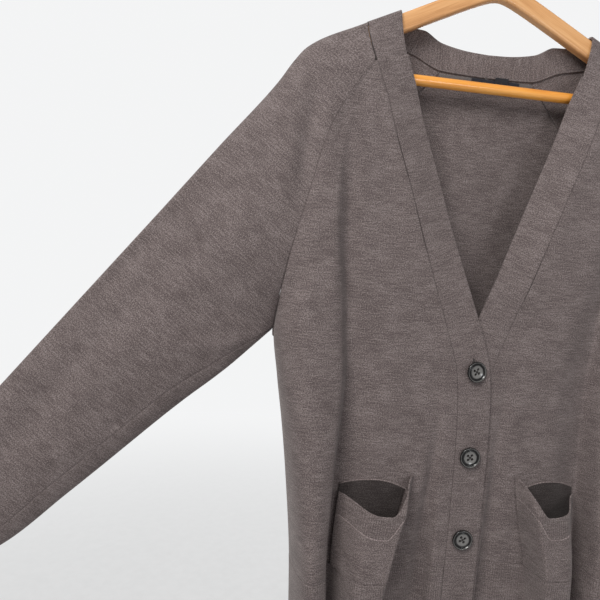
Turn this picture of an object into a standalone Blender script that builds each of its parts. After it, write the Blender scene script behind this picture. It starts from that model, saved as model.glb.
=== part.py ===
"""A V-neck raglan cardigan with four buttons, hanging on a wooden coat hanger.

The frame: the origin is where the hanger's hook rests on its rail, +Z is up, the cardigan's front
faces -Y, and +X is to the right of someone who looks at the front. Names that end in left or right
are a viewer's left and right. The tables below are in millimetres. They use three measures:
    out   how far from the centre line, towards either sleeve
    fore  how far in front of the hanger's middle plane (less than 0 is behind it)
    drop  how far below the hook's resting point
"""
import math

import bmesh
import bpy
import numpy as np

MM = 0.001
LEFT = -1
RIGHT = 1

# ---- driving sizes ---------------------------------------------------------------------------
KNIT = 1.6               # thickness of the single knit
RIB = 2.0                # thickness of the ribbed hem and cuffs
DOUBLE_KNIT = 2.4        # thickness of the doubled button band and neckband
SEAM = 0.15              # each cloth edge stays this far from its seam line
STACK = 0.35             # air between cloths that lie on each other
NECK_DROP = 175.0        # where the front raglan seam meets the neckband
UNDERARM_DROP = 446.0
RIB_DROP = 692.0         # the hem's rib starts here
HEM_DROP = 763.0
BAND_WIDTH = 35.5
BUTTON_DROPS = (480.0, 570.5, 660.0, 742.0)
BUTTON_OUTS = (0.0, 2.0, 3.0, 4.0)
BUTTON_RADIUS = 11.0
UNDERLAP = 3.2           # the right front lies this far behind the left one at the buttons

# ---- seam lines ------------------------------------------------------------------------------
# the side of the front panel: raglan seam down to the underarm, side seam below it
FRONT_SIDE = (
    # drop, out, fore
    (175.0, 129.0, 17.0),
    (213.0, 153.0, 20.0),
    (250.0, 171.0, 22.0),
    (315.0, 187.0, 23.0),
    (372.0, 200.0, 19.0),
    (415.0, 206.5, 11.0),
    (446.0, 209.0, 1.2),
    (498.0, 202.0, 0.0),
    (545.0, 194.0, 0.0),
    (600.0, 186.0, 0.0),
    (697.0, 175.0, 0.0),
    (763.0, 171.0, 0.0),
)
# the side of the back panel
BACK_SIDE = (
    # drop, out, fore
    (170.0, 51.0, -14.0),
    (202.0, 80.0, -17.0),
    (245.0, 115.0, -20.0),
    (300.0, 150.0, -21.0),
    (360.0, 182.0, -17.0),
    (415.0, 204.0, -9.0),
    (446.0, 209.0, -1.2),
    (498.0, 202.0, 0.0),
    (545.0, 194.0, 0.0),
    (600.0, 186.0, 0.0),
    (697.0, 175.0, 0.0),
    (763.0, 171.0, 0.0),
)
# where the front panel meets the button band
BAND_SEAM = (
    # drop, out, fore
    (176.0, 128.5, 17.0),
    (208.0, 116.0, 19.0),
    (239.0, 106.0, 21.0),
    (286.0, 89.0, 23.5),
    (334.0, 72.0, 25.0),
    (393.0, 51.0, 26.0),
    (439.0, 34.0, 27.0),
    (482.0, 20.0, 27.5),
    (511.0, 16.0, 27.5),
    (572.0, 13.5, 27.5),
    (692.0, 13.0, 26.0),
    (763.0, 13.0, 25.0),
)
# the band's free edge leans back towards the hanger by this much in the V
BAND_LEAN = (
    # drop, lean
    (176.0, 7.0),
    (239.0, 11.0),
    (334.0, 10.0),
    (410.0, 4.0),
    (470.0, 0.0),
    (763.0, 0.0),
)
# the neckband from the top of the V over the hanger to the centre of the back
NECK = (
    # seam out, fore, drop      edge out, fore, drop
    ((128.5, 17.0, 176.0), (96.8, 10.0, 165.5)),
    ((134.5, 13.5, 158.0), (101.0, 9.4, 149.0)),
    ((136.6, 8.8, 146.5), (104.0, 8.8, 131.5)),
    ((137.0, 7.2, 139.9), (104.4, 7.2, 124.2)),
    ((137.0, 0.0, 137.5), (104.5, 0.0, 122.2)),
    ((136.5, -7.2, 140.0), (103.5, -7.2, 124.4)),
    ((133.0, -9.0, 146.0), (100.0, -9.0, 129.0)),
    ((112.0, -12.0, 151.5), (90.0, -11.5, 131.0)),
    ((83.0, -14.0, 157.5), (73.0, -12.5, 132.0)),
    ((51.0, -14.0, 170.0), (52.0, -13.5, 142.0)),
    ((20.0, -14.0, 171.5), (22.0, -13.5, 147.0)),
    ((0.0, -14.0, 171.8), (0.0, -13.5, 148.0)),
)
SHOULDER_ROW = 4         # the row of NECK on top of the hanger, where front and back bands join
JOIN_SHARE = 0.06        # how far from that row each band stops, as a share of a row
BACK_RAGLAN_ROW = 9      # the row of NECK where the back raglan seam starts

# ---- folds of the panels ---------------------------------------------------------------------
# Each line runs down a panel. Its place is a share of the way from the side seam to the front
# band's seam, or to the centre of the back.
LEVELS = (175.0, 280.0, 420.0, 590.0, 692.0, 763.0)
FRONT_SHARES = {
    "side": (0.0, 0.0, 0.0, 0.0, 0.0, 0.0),
    "roll": (0.14, 0.13, 0.17, 0.115, 0.085, 0.085),
    "lip": (0.24, 0.23, 0.355, 0.237, 0.17, 0.17),
    "groove": (0.32, 0.31, 0.415, 0.29, 0.22, 0.22),
    "pocket": (0.54, 0.55, 0.61, 0.53, 0.42, 0.37),
    "foot": (0.75, 0.76, 0.80, 0.75, 0.59, 0.51),
    "valley": (0.86, 0.86, 0.87, 0.888, 0.887, 0.882),
    "brink": (0.93, 0.93, 0.935, 0.933, 0.928, 0.926),
    "seam": (1.0, 1.0, 1.0, 1.0, 1.0, 1.0),
}
FRONT_FORES = {
    "roll": (17.0, 24.0, 33.0, 50.0, 58.0, 57.0),
    "lip": (17.0, 23.8, 28.0, 42.0, 50.0, 50.0),
    "groove": (17.0, 22.5, 19.0, 13.0, 13.0, 14.0),
    "pocket": (17.0, 24.0, 25.0, 24.0, 20.0, 18.0),
    "foot": (17.0, 24.0, 26.0, 26.0, 21.0, 19.0),
    "valley": (17.0, 24.0, 26.5, 23.5, 15.0, 12.0),
    "brink": (17.0, 24.0, 26.8, 27.0, 25.6, 24.6),
}
BACK_SHARES = {
    "side": (0.0, 0.0, 0.0, 0.0, 0.0, 0.0),
    "edge": (0.12, 0.12, 0.13, 0.14, 0.14, 0.14),
    "hollow": (0.40, 0.40, 0.38, 0.36, 0.35, 0.35),
    "swell": (0.66, 0.66, 0.66, 0.67, 0.68, 0.68),
    "centre": (1.0, 1.0, 1.0, 1.0, 1.0, 1.0),
}
BACK_FORES = {
    "edge": (-14.0, -22.0, -25.0, -26.0, -25.0, -24.0),
    "hollow": (-14.0, -23.0, -24.0, -18.0, -13.0, -12.0),
    "swell": (-14.0, -22.0, -27.0, -29.0, -28.0, -27.0),
    "centre": (-14.0, -20.0, -25.0, -23.0, -19.0, -18.0),
}
GROOVE_STEP = 3.0        # the groove's place among the front's lines; the foot is two further on
ROUND_FROM = 405.0       # the panels' sides turn from a seam into a rounded fold between these
ROUND_TO = 450.0

# ---- sleeve ----------------------------------------------------------------------------------
# the sleeve's upper fold, from the neckband over the hanger's end to level with the underarm
SLEEVE_CREST = (
    # share of the way, out, fore, drop
    (0.00, 137.0, 0.0, 137.5),
    (0.24, 195.5, 0.0, 169.0),
    (0.30, 207.5, 0.0, 183.5),
    (0.385, 220.0, 0.0, 203.0),
    (0.70, 275.5, 0.0, 273.0),
    (1.00, 328.0, 0.0, 340.0),
)
CREST_RUN = (0.62, 0.785)            # out and drop for each millimetre along the upper fold
SECTION_RISE = (0.738, -0.675)       # from the lower fold towards the upper fold
# the sleeve below the underarm, by distance along the upper fold
SLEEVE_TUBE = (
    # along, flat width, half depth, height of the seam over the lower fold, fore
    (0.0, 160.0, 18.0, 0.0, 0.0),
    (60.0, 152.0, 17.0, 12.0, 0.5),
    (125.0, 139.0, 16.0, 18.0, 1.0),
    (260.0, 117.0, 14.0, 18.0, 2.0),
    (345.0, 101.0, 13.0, 16.0, 2.0),
    (359.0, 92.0, 12.5, 15.0, 2.0),
    (372.0, 88.0, 12.0, 14.0, 2.0),
    (420.0, 88.0, 11.5, 14.0, 2.0),
)
CUFF_ALONG = 359.0
SLEEVE_END = 420.0
CAP_DEPTHS = (
    # share of the way, half depth in front, half depth behind
    (0.0, 17.0, 14.0),
    (0.3, 22.0, 19.0),
    (0.7, 22.0, 20.0),
    (1.0, 18.0, 18.0),
)
SLEEVE_GROOVE = 5.0      # a soft groove runs down the sleeve's front
GROOVE_INSIDE = 36.0     # its distance from the upper fold
GROOVE_REACH = 20.0

# ---- pocket ----------------------------------------------------------------------------------
MOUTH_DROP = 625.0
MOUTH_OUTER_RISE = 12.0
MOUTH_INNER_RISE = 34.0
POCKET_BAND = 23.0
POCKET_BULGE = 38.0      # how far the pocket stands off the front at its fullest
MOUTH_FILLED = 0.4       # the share of that bulge already there at the mouth
BAG_FILLED = 0.4         # the share that the bag adds between FILL_START and FILL_HALF
FILL_START = 590.0
FILL_HALF = 625.0
GROOVE_CLEAR = 1.2       # the pocket's extra stand-off at the groove
GROOVE_SHARE = 0.25      # how much of the pocket's width that takes
BAND_GAP = 3 * SEAM      # from the pocket band's lower edge to the pocket's front
BAND_GAP_MORE = 7 * SEAM  # how much that gap grows towards the foot
POCKET_SHARES = (0.07, 0.15, 0.25, 0.38, 0.5, 0.62, 0.75, 0.86, 0.94, 1.0)
LINING_DROP = 609.0      # the top edge of the pocket's back layer, at its ends
LINING_RISE = 11.0

LINING_FOOT = 680.0
LINING_SHARES = (0.07, 0.25, 0.5, 0.75, 0.92)
LINING_THICK = 1.0

# ---- trims -----------------------------------------------------------------------------------
HOLE_RADIUS = 1.0
HOLE_CIRCLE = 2.6        # the button's holes lie on a circle of this radius
LABEL_THICK = 1.0
LABELS = (
    # name, from out, to out, top drop, foot drop, layer, finish
    ("neck_tape", -52.0, 52.0, 173.6, 181.5, 0, ("tape", (0.10, 0.10, 0.11), 0.8)),
    ("neck_label", -17.0, 37.0, 174.0, 185.5, 1, ("label", (0.012, 0.012, 0.018), 0.6)),
    ("size_tab", 9.0, 24.0, 171.0, 180.5, 2, ("label_tab", (0.008, 0.008, 0.012), 0.6)),
)

# ---- hanger ----------------------------------------------------------------------------------
ARM_TOP = 72.5           # drop of the arms' straight upper line, carried to the centre
ARM_SLOPE = 0.5
ARM_HEIGHT = 18.0
ARM_THICK = 12.0
ARM_REACH = 187.0
BAR_DROP = 186.5
BAR_RADIUS = 5.5
BAR_REACH = 168.0
TENON_RADIUS = 3.5
TENON_REACH = 184.0
SOCKET = 20.0
STEM_DEPTH = 9.0
PEAK_ROUND = 14.0
EDGE_ROUND = 3.0
HOOK_WIRE = 1.8
HOOK_RADIUS = 21.0


# ---- working with the tables -----------------------------------------------------------------
def slopes(xs, ys):
    """Slopes of a smooth curve through the points that never overshoots them."""
    steps = np.diff(xs)
    rates = np.diff(ys) / steps
    result = np.zeros(len(xs))
    result[0] = rates[0]
    result[-1] = rates[-1]
    for i in range(1, len(xs) - 1):
        if rates[i - 1] * rates[i] > 0:
            ahead = 2 * steps[i] + steps[i - 1]
            behind = steps[i] + 2 * steps[i - 1]
            result[i] = (ahead + behind) / (ahead / rates[i - 1] + behind / rates[i])
    return result


def smooth(x, xs, ys):
    """Value at x of the smooth curve through the points (xs, ys), level beyond its ends."""
    xs = np.asarray(xs, float)
    ys = np.asarray(ys, float)
    x = min(max(x, xs[0]), xs[-1])
    i = min(int(np.searchsorted(xs, x, side="right")) - 1, len(xs) - 2)
    m = slopes(xs, ys)
    h = xs[i + 1] - xs[i]
    t = (x - xs[i]) / h
    low = (1 + 2 * t) * (1 - t) ** 2 * ys[i] + t * (1 - t) ** 2 * h * m[i]
    high = t * t * (3 - 2 * t) * ys[i + 1] + t * t * (t - 1) * h * m[i + 1]
    return float(low + high)


def column(table, x, index):
    """One named column of a table at x, where x is the table's first column."""
    return smooth(x, [row[0] for row in table], [row[index] for row in table])


def ramp(x, low, high):
    """0 below low, 1 above high, and a smooth rise between them."""
    t = min(max((x - low) / (high - low), 0.0), 1.0)
    return t * t * (3 - 2 * t)


def place(side, point):
    """World position of a point given as out, fore and drop."""
    out, fore, drop = point
    return (side * out * MM, -fore * MM, -drop * MM)


# ---- surfaces of the panels ------------------------------------------------------------------
def across(shares, fores, side_fore, end_fore, drop, step):
    """Share and fore of the point at `step` lines from the side, at one level of a panel."""
    share_row = [smooth(drop, LEVELS, shares[name]) for name in shares]
    fore_row = [side_fore]
    fore_row += [smooth(drop, LEVELS, fores[name]) for name in fores]
    if end_fore is not None:
        fore_row.append(end_fore)
    last = len(share_row) - 1
    span = min(int(step), last - 1)
    t = step - span
    share = share_row[span] + (share_row[span + 1] - share_row[span]) * t
    fore = smooth(share, share_row, fore_row)
    if span == 0:
        fold = ramp(drop, ROUND_FROM, ROUND_TO)
        quarter = t * math.pi / 2
        round_share = share_row[1] * (1 - math.cos(quarter))
        round_fore = side_fore + (fore_row[1] - side_fore) * math.sin(quarter)
        share += (round_share - share) * fold
        fore += (round_fore - fore) * fold
    return share, fore


def behind(side, drop, share):
    """How far the right front steps back under the left one, near the buttons."""
    if side == LEFT:
        return 0.0
    return UNDERLAP * ramp(drop, 385.0, 440.0) * ramp(share, 0.75, 1.0)


def front_point(side, drop, step):
    """A point of a front panel: step 0 is its side, step 8 the band's seam."""
    side_out = column(FRONT_SIDE, drop, 1) - SEAM * 1.2
    seam_out = column(BAND_SEAM, drop, 1) + SEAM * 1.2
    side_fore = column(FRONT_SIDE, drop, 2) + 2 * SEAM
    share, fore = across(FRONT_SHARES, FRONT_FORES, side_fore, column(BAND_SEAM, drop, 2), drop, step)
    return (side_out + (seam_out - side_out) * share, fore - behind(side, drop, share), drop)


def back_point(drop, step):
    """A point of one half of the back: step 0 is its side, step 4 the centre."""
    side_out = column(BACK_SIDE, drop, 1) - SEAM * 1.4
    share, fore = across(BACK_SHARES, BACK_FORES, column(BACK_SIDE, drop, 2) - 2 * SEAM, None, drop, step)
    return (side_out * (1 - share), fore, drop)


# ---- surfaces of the band --------------------------------------------------------------------
def band_row(side, drop, count):
    """Points across the button band, from its seam to its free edge, at one level of its seam."""
    reach = 2.0
    run = column(BAND_SEAM, drop - reach, 1) - column(BAND_SEAM, drop + reach, 1)
    length = math.hypot(run, 2 * reach)
    lean = column(BAND_LEAN, drop, 1)
    width = math.sqrt(BAND_WIDTH ** 2 - lean ** 2)
    seam = (column(BAND_SEAM, drop, 1), column(BAND_SEAM, drop, 2) - behind(side, drop, 1.0), drop)
    edge = (seam[0] - width * 2 * reach / length, seam[1] - lean, drop - width * run / length)
    return between(seam, edge, count)


def between(seam, edge, count):
    """Points from just inside the seam to the free edge."""
    start = SEAM * 1.2 / BAND_WIDTH
    shares = np.linspace(start, 1.0, count)
    return [tuple(a + (b - a) * t for a, b in zip(seam, edge)) for t in shares]


def neck_row(position, count):
    """Points across the neckband at a row of NECK, which may be between two rows."""
    numbers = range(len(NECK))
    seam = [smooth(position, numbers, [row[0][k] for row in NECK]) for k in range(3)]
    edge = [smooth(position, numbers, [row[1][k] for row in NECK]) for k in range(3)]
    return between(seam, edge, count)


# ---- surface of the sleeve -------------------------------------------------------------------
def arc(crest, end, reach, depth, angle, square):
    """A point of a rounded section, `angle` round from the upper fold towards its end.

    `square` below 1 makes the fold broader, where it lies over the hanger's arm.
    """
    length = math.hypot(crest[0] - end[0], crest[2] - end[2])
    half = length / (1 - math.cos(reach))
    go = half * (1 - math.cos(angle)) / length
    miss = end[1] - (crest[1] + depth * max(math.sin(reach), 0.0) ** square)
    fore = crest[1] + depth * max(math.sin(angle), 0.0) ** square + miss * angle / reach
    return (crest[0] + (end[0] - crest[0]) * go, fore, crest[2] + (end[2] - crest[2]) * go)


def groove_depth(inside, strength):
    """The soft groove down the sleeve's front, by distance from the upper fold."""
    return strength * SLEEVE_GROOVE * math.exp(-((inside - GROOVE_INSIDE) / GROOVE_REACH) ** 2)


def neck_edge(turn):
    """The sleeve's edge at the neckband: turn is -1 in front, 0 on the shoulder and 1 behind."""
    if turn < 0:
        position = SHOULDER_ROW * (1 + turn)
    else:
        position = SHOULDER_ROW + (BACK_RAGLAN_ROW - SHOULDER_ROW) * turn
    numbers = range(len(NECK))
    return [smooth(position, numbers, [row[0][k] for row in NECK]) for k in range(3)]


def cap_point(share, turn):
    """A point of the sleeve above the underarm, where its sides are raglan seams."""
    crest = [column(SLEEVE_CREST, share, k) for k in (1, 2, 3)]
    closing = ramp(share, 0.55, 1.0)
    reach = math.pi / 2 * (1 + closing)
    slack = 3 * SEAM + 1.1 * closing
    if turn < 0:
        drop = NECK_DROP + (UNDERARM_DROP - NECK_DROP) * share
        end = (column(FRONT_SIDE, drop, 1) + slack, column(FRONT_SIDE, drop, 2), drop)
        depth = column(CAP_DEPTHS, share, 1)
    else:
        drop = NECK[BACK_RAGLAN_ROW][0][2] + (UNDERARM_DROP - NECK[BACK_RAGLAN_ROW][0][2]) * share
        end = (column(BACK_SIDE, drop, 1) + slack, column(BACK_SIDE, drop, 2), drop)
        depth = -column(CAP_DEPTHS, share, 2)
    square = 0.7 + 0.3 * ramp(share, 0.3, 0.8)
    point = arc(crest, end, reach, depth, abs(turn) * reach, square)
    pull = 1 - ramp(share, 0.0, 0.3)
    neck = neck_edge(turn)
    flat = arc([column(SLEEVE_CREST, 0.0, k) for k in (1, 2, 3)],
               (neck_edge(-1) if turn < 0 else neck_edge(1)), math.pi / 2,
               column(CAP_DEPTHS, 0.0, 1) if turn < 0 else -column(CAP_DEPTHS, 0.0, 2),
               abs(turn) * math.pi / 2, 0.7)
    point = [p + pull * (n - f) for p, n, f in zip(point, neck, flat)]
    if turn < 0:
        inside = math.hypot(point[0] - crest[0], point[2] - crest[2])
        point[1] -= groove_depth(inside, ramp(share, 0.45, 0.9))
    return tuple(point)


def tube_point(along, turn):
    """A point of the sleeve below the underarm, where it is a closed tube."""
    width, depth, rise, fore = [column(SLEEVE_TUBE, along, k) for k in (1, 2, 3, 4)]
    half = width / 2
    seam_angle = math.acos(max(-1.0, rise / half - 1))
    slack = SEAM * 1.4 / math.hypot(half * math.sin(seam_angle), depth)
    slack += 1.1 * (1 - ramp(along, 0.0, 25.0)) / depth
    if turn < 0:
        angle = -turn * (seam_angle - slack)
    else:
        angle = -turn * (2 * math.pi - seam_angle - slack)
    inside = half * (1 - math.cos(angle))
    crest_out = SLEEVE_CREST[-1][1] + CREST_RUN[0] * along
    crest_drop = SLEEVE_CREST[-1][3] + CREST_RUN[1] * along
    fore += depth * math.sin(angle)
    if math.sin(angle) > 0:
        fore -= groove_depth(inside, 1 - ramp(along, 200.0, CUFF_ALONG)) * math.sin(angle)
    return (crest_out - SECTION_RISE[0] * inside, fore, crest_drop - SECTION_RISE[1] * inside)


def turns(front, back):
    """Steps round the sleeve, from its front seam over the upper fold to its back seam."""
    return list(np.linspace(-1, 0, front + 1)) + list(np.linspace(0, 1, back + 1))[1:]


# ---- making objects --------------------------------------------------------------------------
def clear():
    for thing in list(bpy.data.objects):
        bpy.data.objects.remove(thing, do_unlink=True)


def collection(name):
    group = bpy.data.collections.new(name)
    bpy.context.scene.collection.children.link(group)
    return group


def material(name, color, roughness, metallic=0.0):
    """A Principled material in the part's own colour."""
    made = bpy.data.materials.get(name)
    if made is None:
        made = bpy.data.materials.new(name)
        made.use_nodes = True
        surface = made.node_tree.nodes["Principled BSDF"]
        surface.inputs["Base Color"].default_value = (*color, 1.0)
        surface.inputs["Roughness"].default_value = roughness
        surface.inputs["Metallic"].default_value = metallic
    return made


def knit():
    return material("knit", (0.165, 0.138, 0.125), 0.9)


def ribbed():
    return material("ribbed_knit", (0.15, 0.127, 0.115), 0.9)


def cloth(name, rows, thickness, finish):
    """A sheet of cloth through rows of points, given its thickness half to each side."""
    across_count = len(rows[0])
    points = [point for row in rows for point in row]
    faces = []
    for i in range(len(rows) - 1):
        for j in range(across_count - 1):
            corner = i * across_count + j
            faces.append((corner, corner + 1, corner + across_count + 1, corner + across_count))
    mesh = bpy.data.meshes.new(name)
    mesh.from_pydata(points, [], faces)
    mesh.shade_smooth()
    sheet = bpy.data.objects.new(name, mesh)
    garment.objects.link(sheet)
    mesh.materials.append(finish)
    wall = sheet.modifiers.new("Wall", "SOLIDIFY")
    wall.thickness = thickness * MM
    wall.offset = 0.0
    return sheet


def name_of(part, side):
    return part + ("_left" if side == LEFT else "_right")


def steps(*counts):
    """Positions across a panel, with the given number of faces between each two lines."""
    found = []
    for line, count in enumerate(counts):
        found += [line + i / count for i in range(count)]
    return found + [float(len(counts))]


# ---- the knitted pieces ----------------------------------------------------------------------
FRONT_STEPS = steps(3, 2, 1, 2, 2, 2, 1, 1)
BACK_STEPS = steps(3, 2, 2, 2)


def make_front(side):
    drops = np.linspace(NECK_DROP + 2.5, RIB_DROP - SEAM, 21)
    rows = [[place(side, front_point(side, drop, s)) for s in FRONT_STEPS] for drop in drops]
    cloth(name_of("front", side), rows, KNIT, knit())


def make_back():
    drops = np.linspace(NECK[BACK_RAGLAN_ROW][0][2] + 2 * SEAM, RIB_DROP - SEAM, 19)
    cloth("back", [back_row(drop) for drop in drops], KNIT, knit())


def neck_dip(out, drop):
    """How far the back's upper edge sags between the raglan seams."""
    seams = [row[0] for row in NECK[:BACK_RAGLAN_ROW - 1:-1]]
    top = smooth(out, [seam[0] for seam in seams], [seam[2] for seam in seams])
    return (top - seams[-1][2]) * (1 - ramp(drop, seams[-1][2], 230.0))


def back_row(drop):
    half = []
    for s in BACK_STEPS:
        out, fore, low = back_point(drop, s)
        half.append((out, fore, low + neck_dip(out, drop)))
    row = [place(LEFT, point) for point in half]
    return row + [place(RIGHT, point) for point in reversed(half[:-1])]


def make_hem():
    drops = np.linspace(RIB_DROP + SEAM, HEM_DROP, 4)
    cloth("hem_rib_back", [back_row(drop) for drop in drops], RIB, ribbed())
    for side in (LEFT, RIGHT):
        rows = []
        for drop in drops:
            points = []
            for s in FRONT_STEPS:
                out, fore, _ = front_point(side, drop, s)
                points.append(place(side, (out, fore + hem_bulge(s), drop)))
            rows.append(points)
        cloth(name_of("hem_rib_front", side), rows, RIB, ribbed())


def hem_bulge(step):
    """The hem stands forward under the pocket, between the groove and the pocket's foot."""
    return POCKET_BULGE * pocket_shape((step - GROOVE_STEP) / 2.0)


def pocket_shape(share):
    """Fullness across the pocket: soft on its outer side, with a crisp inner edge."""
    if share <= 0.0 or share >= 1.0:
        return 0.0
    return ramp(share, 0.0, 0.42) * (1 - ramp(share, 0.86, 1.0))


def mouth_drop(share):
    """The pocket's upper edge: nearly level, with its two ends drawn up."""
    outer_rise = MOUTH_OUTER_RISE * (1 - ramp(share, 0.0, 0.6))
    return MOUTH_DROP - outer_rise - MOUTH_INNER_RISE * ramp(share, 0.7, 1.0)


def pocket_point(side, share, drop):
    """A point of the pocket's front: share 0 is at the groove and 1 at the pocket's foot."""
    out, fore, _ = front_point(side, drop, GROOVE_STEP + 2.0 * share)
    filled = MOUTH_FILLED + BAG_FILLED * ramp(drop, FILL_START, FILL_HALF)
    full = POCKET_BULGE * (filled + (1 - MOUTH_FILLED - BAG_FILLED) * ramp(drop, FILL_HALF, RIB_DROP))
    lift = KNIT + STACK + 2 * SEAM + GROOVE_CLEAR * (1 - ramp(share, 0.0, GROOVE_SHARE))
    return (out, fore + lift + (full - lift) * pocket_shape(share), drop)


def seam_below_band(share):
    """How far the pocket's front starts below its band; more towards the foot, where both lean out."""
    return BAND_GAP + BAND_GAP_MORE * ramp(share, 0.3, 0.8)


def make_pocket(side):
    band_rows = []
    front_rows = []
    for part in np.linspace(0, 1, 3):
        drops = [mouth_drop(s) + POCKET_BAND * part for s in POCKET_SHARES]
        band_rows.append([place(side, pocket_point(side, s, d)) for s, d in zip(POCKET_SHARES, drops)])
    for part in np.linspace(0, 1, 6):
        row = []
        for s in POCKET_SHARES:
            top = mouth_drop(s) + POCKET_BAND + seam_below_band(s)
            row.append(place(side, pocket_point(side, s, top + (RIB_DROP - SEAM - top) * part)))
        front_rows.append(row)
    cloth(name_of("pocket_band", side), band_rows, KNIT, ribbed())
    cloth(name_of("pocket_front", side), front_rows, KNIT, knit())


def make_band(side):
    drops = list(np.linspace(HEM_DROP, 530.0, 7)) + [511.0, 496.0, 482.0, 468.0, 454.0]
    drops += list(np.linspace(439.0, 176.0, 10))
    rows = [[place(side, p) for p in band_row(side, drop, 3)] for drop in drops]
    for position in (1.0, 2.0, 3.0, SHOULDER_ROW - JOIN_SHARE):
        rows.append([place(side, p) for p in neck_row(position, 3)])
    cloth(name_of("band", side), rows, DOUBLE_KNIT, ribbed())


def make_neckband():
    last = len(NECK) - 1
    positions = [SHOULDER_ROW + JOIN_SHARE] + list(range(5, 9)) + list(np.linspace(9, last, 5))
    rows = [[place(LEFT, p) for p in neck_row(position, 3)] for position in positions]
    for position in reversed(positions[:-1]):
        rows.append([place(RIGHT, p) for p in neck_row(position, 3)])
    cloth("neckband_back", rows, DOUBLE_KNIT, ribbed())


def make_sleeve(side):
    around = turns(7, 8)
    rows = [[place(side, cap_point(share, t)) for t in around] for share in cap_shares()]
    for along in (20.0, 55.0, 100.0, 150.0, 205.0, 260.0, 310.0, 345.0, CUFF_ALONG - SEAM):
        rows.append([place(side, tube_point(along, t)) for t in around])
    cloth(name_of("sleeve", side), rows, KNIT, knit())


def cap_shares():
    first = 2 * SEAM / 130.0
    return (first, 0.12, 0.19, 0.25, 0.31, 0.40, 0.52, 0.66, 0.80, 0.92, 1.0)


def make_cuff(side):
    around = turns(7, 8)
    alongs = (CUFF_ALONG + SEAM, 372.0, SLEEVE_END)
    rows = [[place(side, tube_point(along, t)) for t in around] for along in alongs]
    cloth(name_of("cuff", side), rows, RIB, ribbed())


def lift_off(out, drop, lift):
    """A point that lies `lift` in front of the back panel's inner face."""
    side_out = column(BACK_SIDE, drop, 1)
    shares = [smooth(drop, LEVELS, BACK_SHARES[name]) for name in BACK_SHARES]
    fores = [column(BACK_SIDE, drop, 2)] + [smooth(drop, LEVELS, row) for row in BACK_FORES.values()]
    fore = smooth(1 - abs(out) / side_out, shares, fores)
    return (out, fore + KNIT / 2 + lift, drop)


def make_labels():
    """The tape on the neck seam, the label sewn over it and the small tab on the label."""
    for name, low_out, high_out, top, foot, layer, finish in LABELS:
        lift = STACK + LABEL_THICK / 2 + layer * (STACK + LABEL_THICK)
        rows = []
        for drop in np.linspace(top, foot, 3):
            outs = np.linspace(low_out, high_out, 5)
            rows.append([place(RIGHT, lift_off(out, drop, lift)) for out in outs])
        cloth(name, rows, LABEL_THICK, material(*finish))


def make_lining(side):
    """The pocket's back layer lies on the front, under the pocket; its upper edge shows."""
    rows = []
    for part in np.linspace(0, 1, 4):
        row = []
        for share in LINING_SHARES:
            top = LINING_DROP - LINING_RISE * math.sin(math.pi * share)
            drop = top + (LINING_FOOT - top) * part
            out, fore, _ = front_point(side, drop, GROOVE_STEP + 2.0 * share)
            lift = KNIT / 2 + STACK + LINING_THICK / 2 + 1.2 * (1 - ramp(share, 0.0, 0.25))
            row.append(place(side, (out, fore + lift, drop)))
        rows.append(row)
    cloth(name_of("pocket_lining", side), rows, LINING_THICK, knit())


# ---- buttons ---------------------------------------------------------------------------------
def button_profile():
    """From the middle of the dished face over the rim to the middle of the back."""
    r = BUTTON_RADIUS
    return (
        (0.0, 2.3), (0.70 * r, 2.5), (0.80 * r, 3.5), (0.92 * r, 3.6),
        (r, 2.6), (r, 1.6), (0.84 * r, 0.0), (0.0, 0.0),
    )


def make_button(number):
    """A turned button with four holes, on the left front's band and facing forwards."""
    profile = bpy.data.meshes.new("button_%d" % number)
    points = [(radius * MM, 0.0, height * MM) for radius, height in button_profile()]
    profile.from_pydata(points, [(i, i + 1) for i in range(len(points) - 1)], [])
    profile.materials.append(material("button", (0.018, 0.017, 0.018), 0.35))
    button = bpy.data.objects.new("button_%d" % number, profile)
    garment.objects.link(button)
    turn = button.modifiers.new("Turn", "SCREW")
    turn.steps = turn.render_steps = 28
    turn.use_merge_vertices = True
    turn.merge_threshold = 0.00001
    drop = BUTTON_DROPS[number - 1]
    out = BUTTON_OUTS[number - 1]
    fore = column(BAND_SEAM, drop, 2) + DOUBLE_KNIT / 2 + STACK + 0.6
    button.location = place(RIGHT, (out, fore, drop))
    button.rotation_euler = (math.pi / 2, 0.0, 0.0)
    holes = button.modifiers.new("Holes", "BOOLEAN")
    holes.operation = "DIFFERENCE"
    holes.object = make_drill(number, button)


def make_drill(number, button):
    """Four rods on a square, as one cutter."""
    bm = bmesh.new()
    for corner in range(4):
        angle = math.pi / 4 + corner * math.pi / 2
        rod = bmesh.ops.create_cone(bm, cap_ends=True, segments=8, radius1=HOLE_RADIUS * MM,
                                    radius2=HOLE_RADIUS * MM, depth=12 * MM)
        shift = (HOLE_CIRCLE * math.cos(angle) * MM, HOLE_CIRCLE * math.sin(angle) * MM, 2 * MM)
        bmesh.ops.translate(bm, verts=rod["verts"], vec=shift)
    mesh = bpy.data.meshes.new("drill_%d" % number)
    bm.to_mesh(mesh)
    bm.free()
    drill = bpy.data.objects.new("drill_%d" % number, mesh)
    cutters.objects.link(drill)
    drill.location = button.location
    drill.rotation_euler = button.rotation_euler
    drill.hide_render = True
    drill.display_type = "WIRE"
    return drill


# ---- hanger ----------------------------------------------------------------------------------
def arm_line(out):
    """Drop of the middle line of the arms, which meet in a rounded peak."""
    middle = ARM_TOP + ARM_HEIGHT / 2 * math.hypot(1, ARM_SLOPE)
    return middle + ARM_SLOPE * math.hypot(out, PEAK_ROUND)


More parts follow.
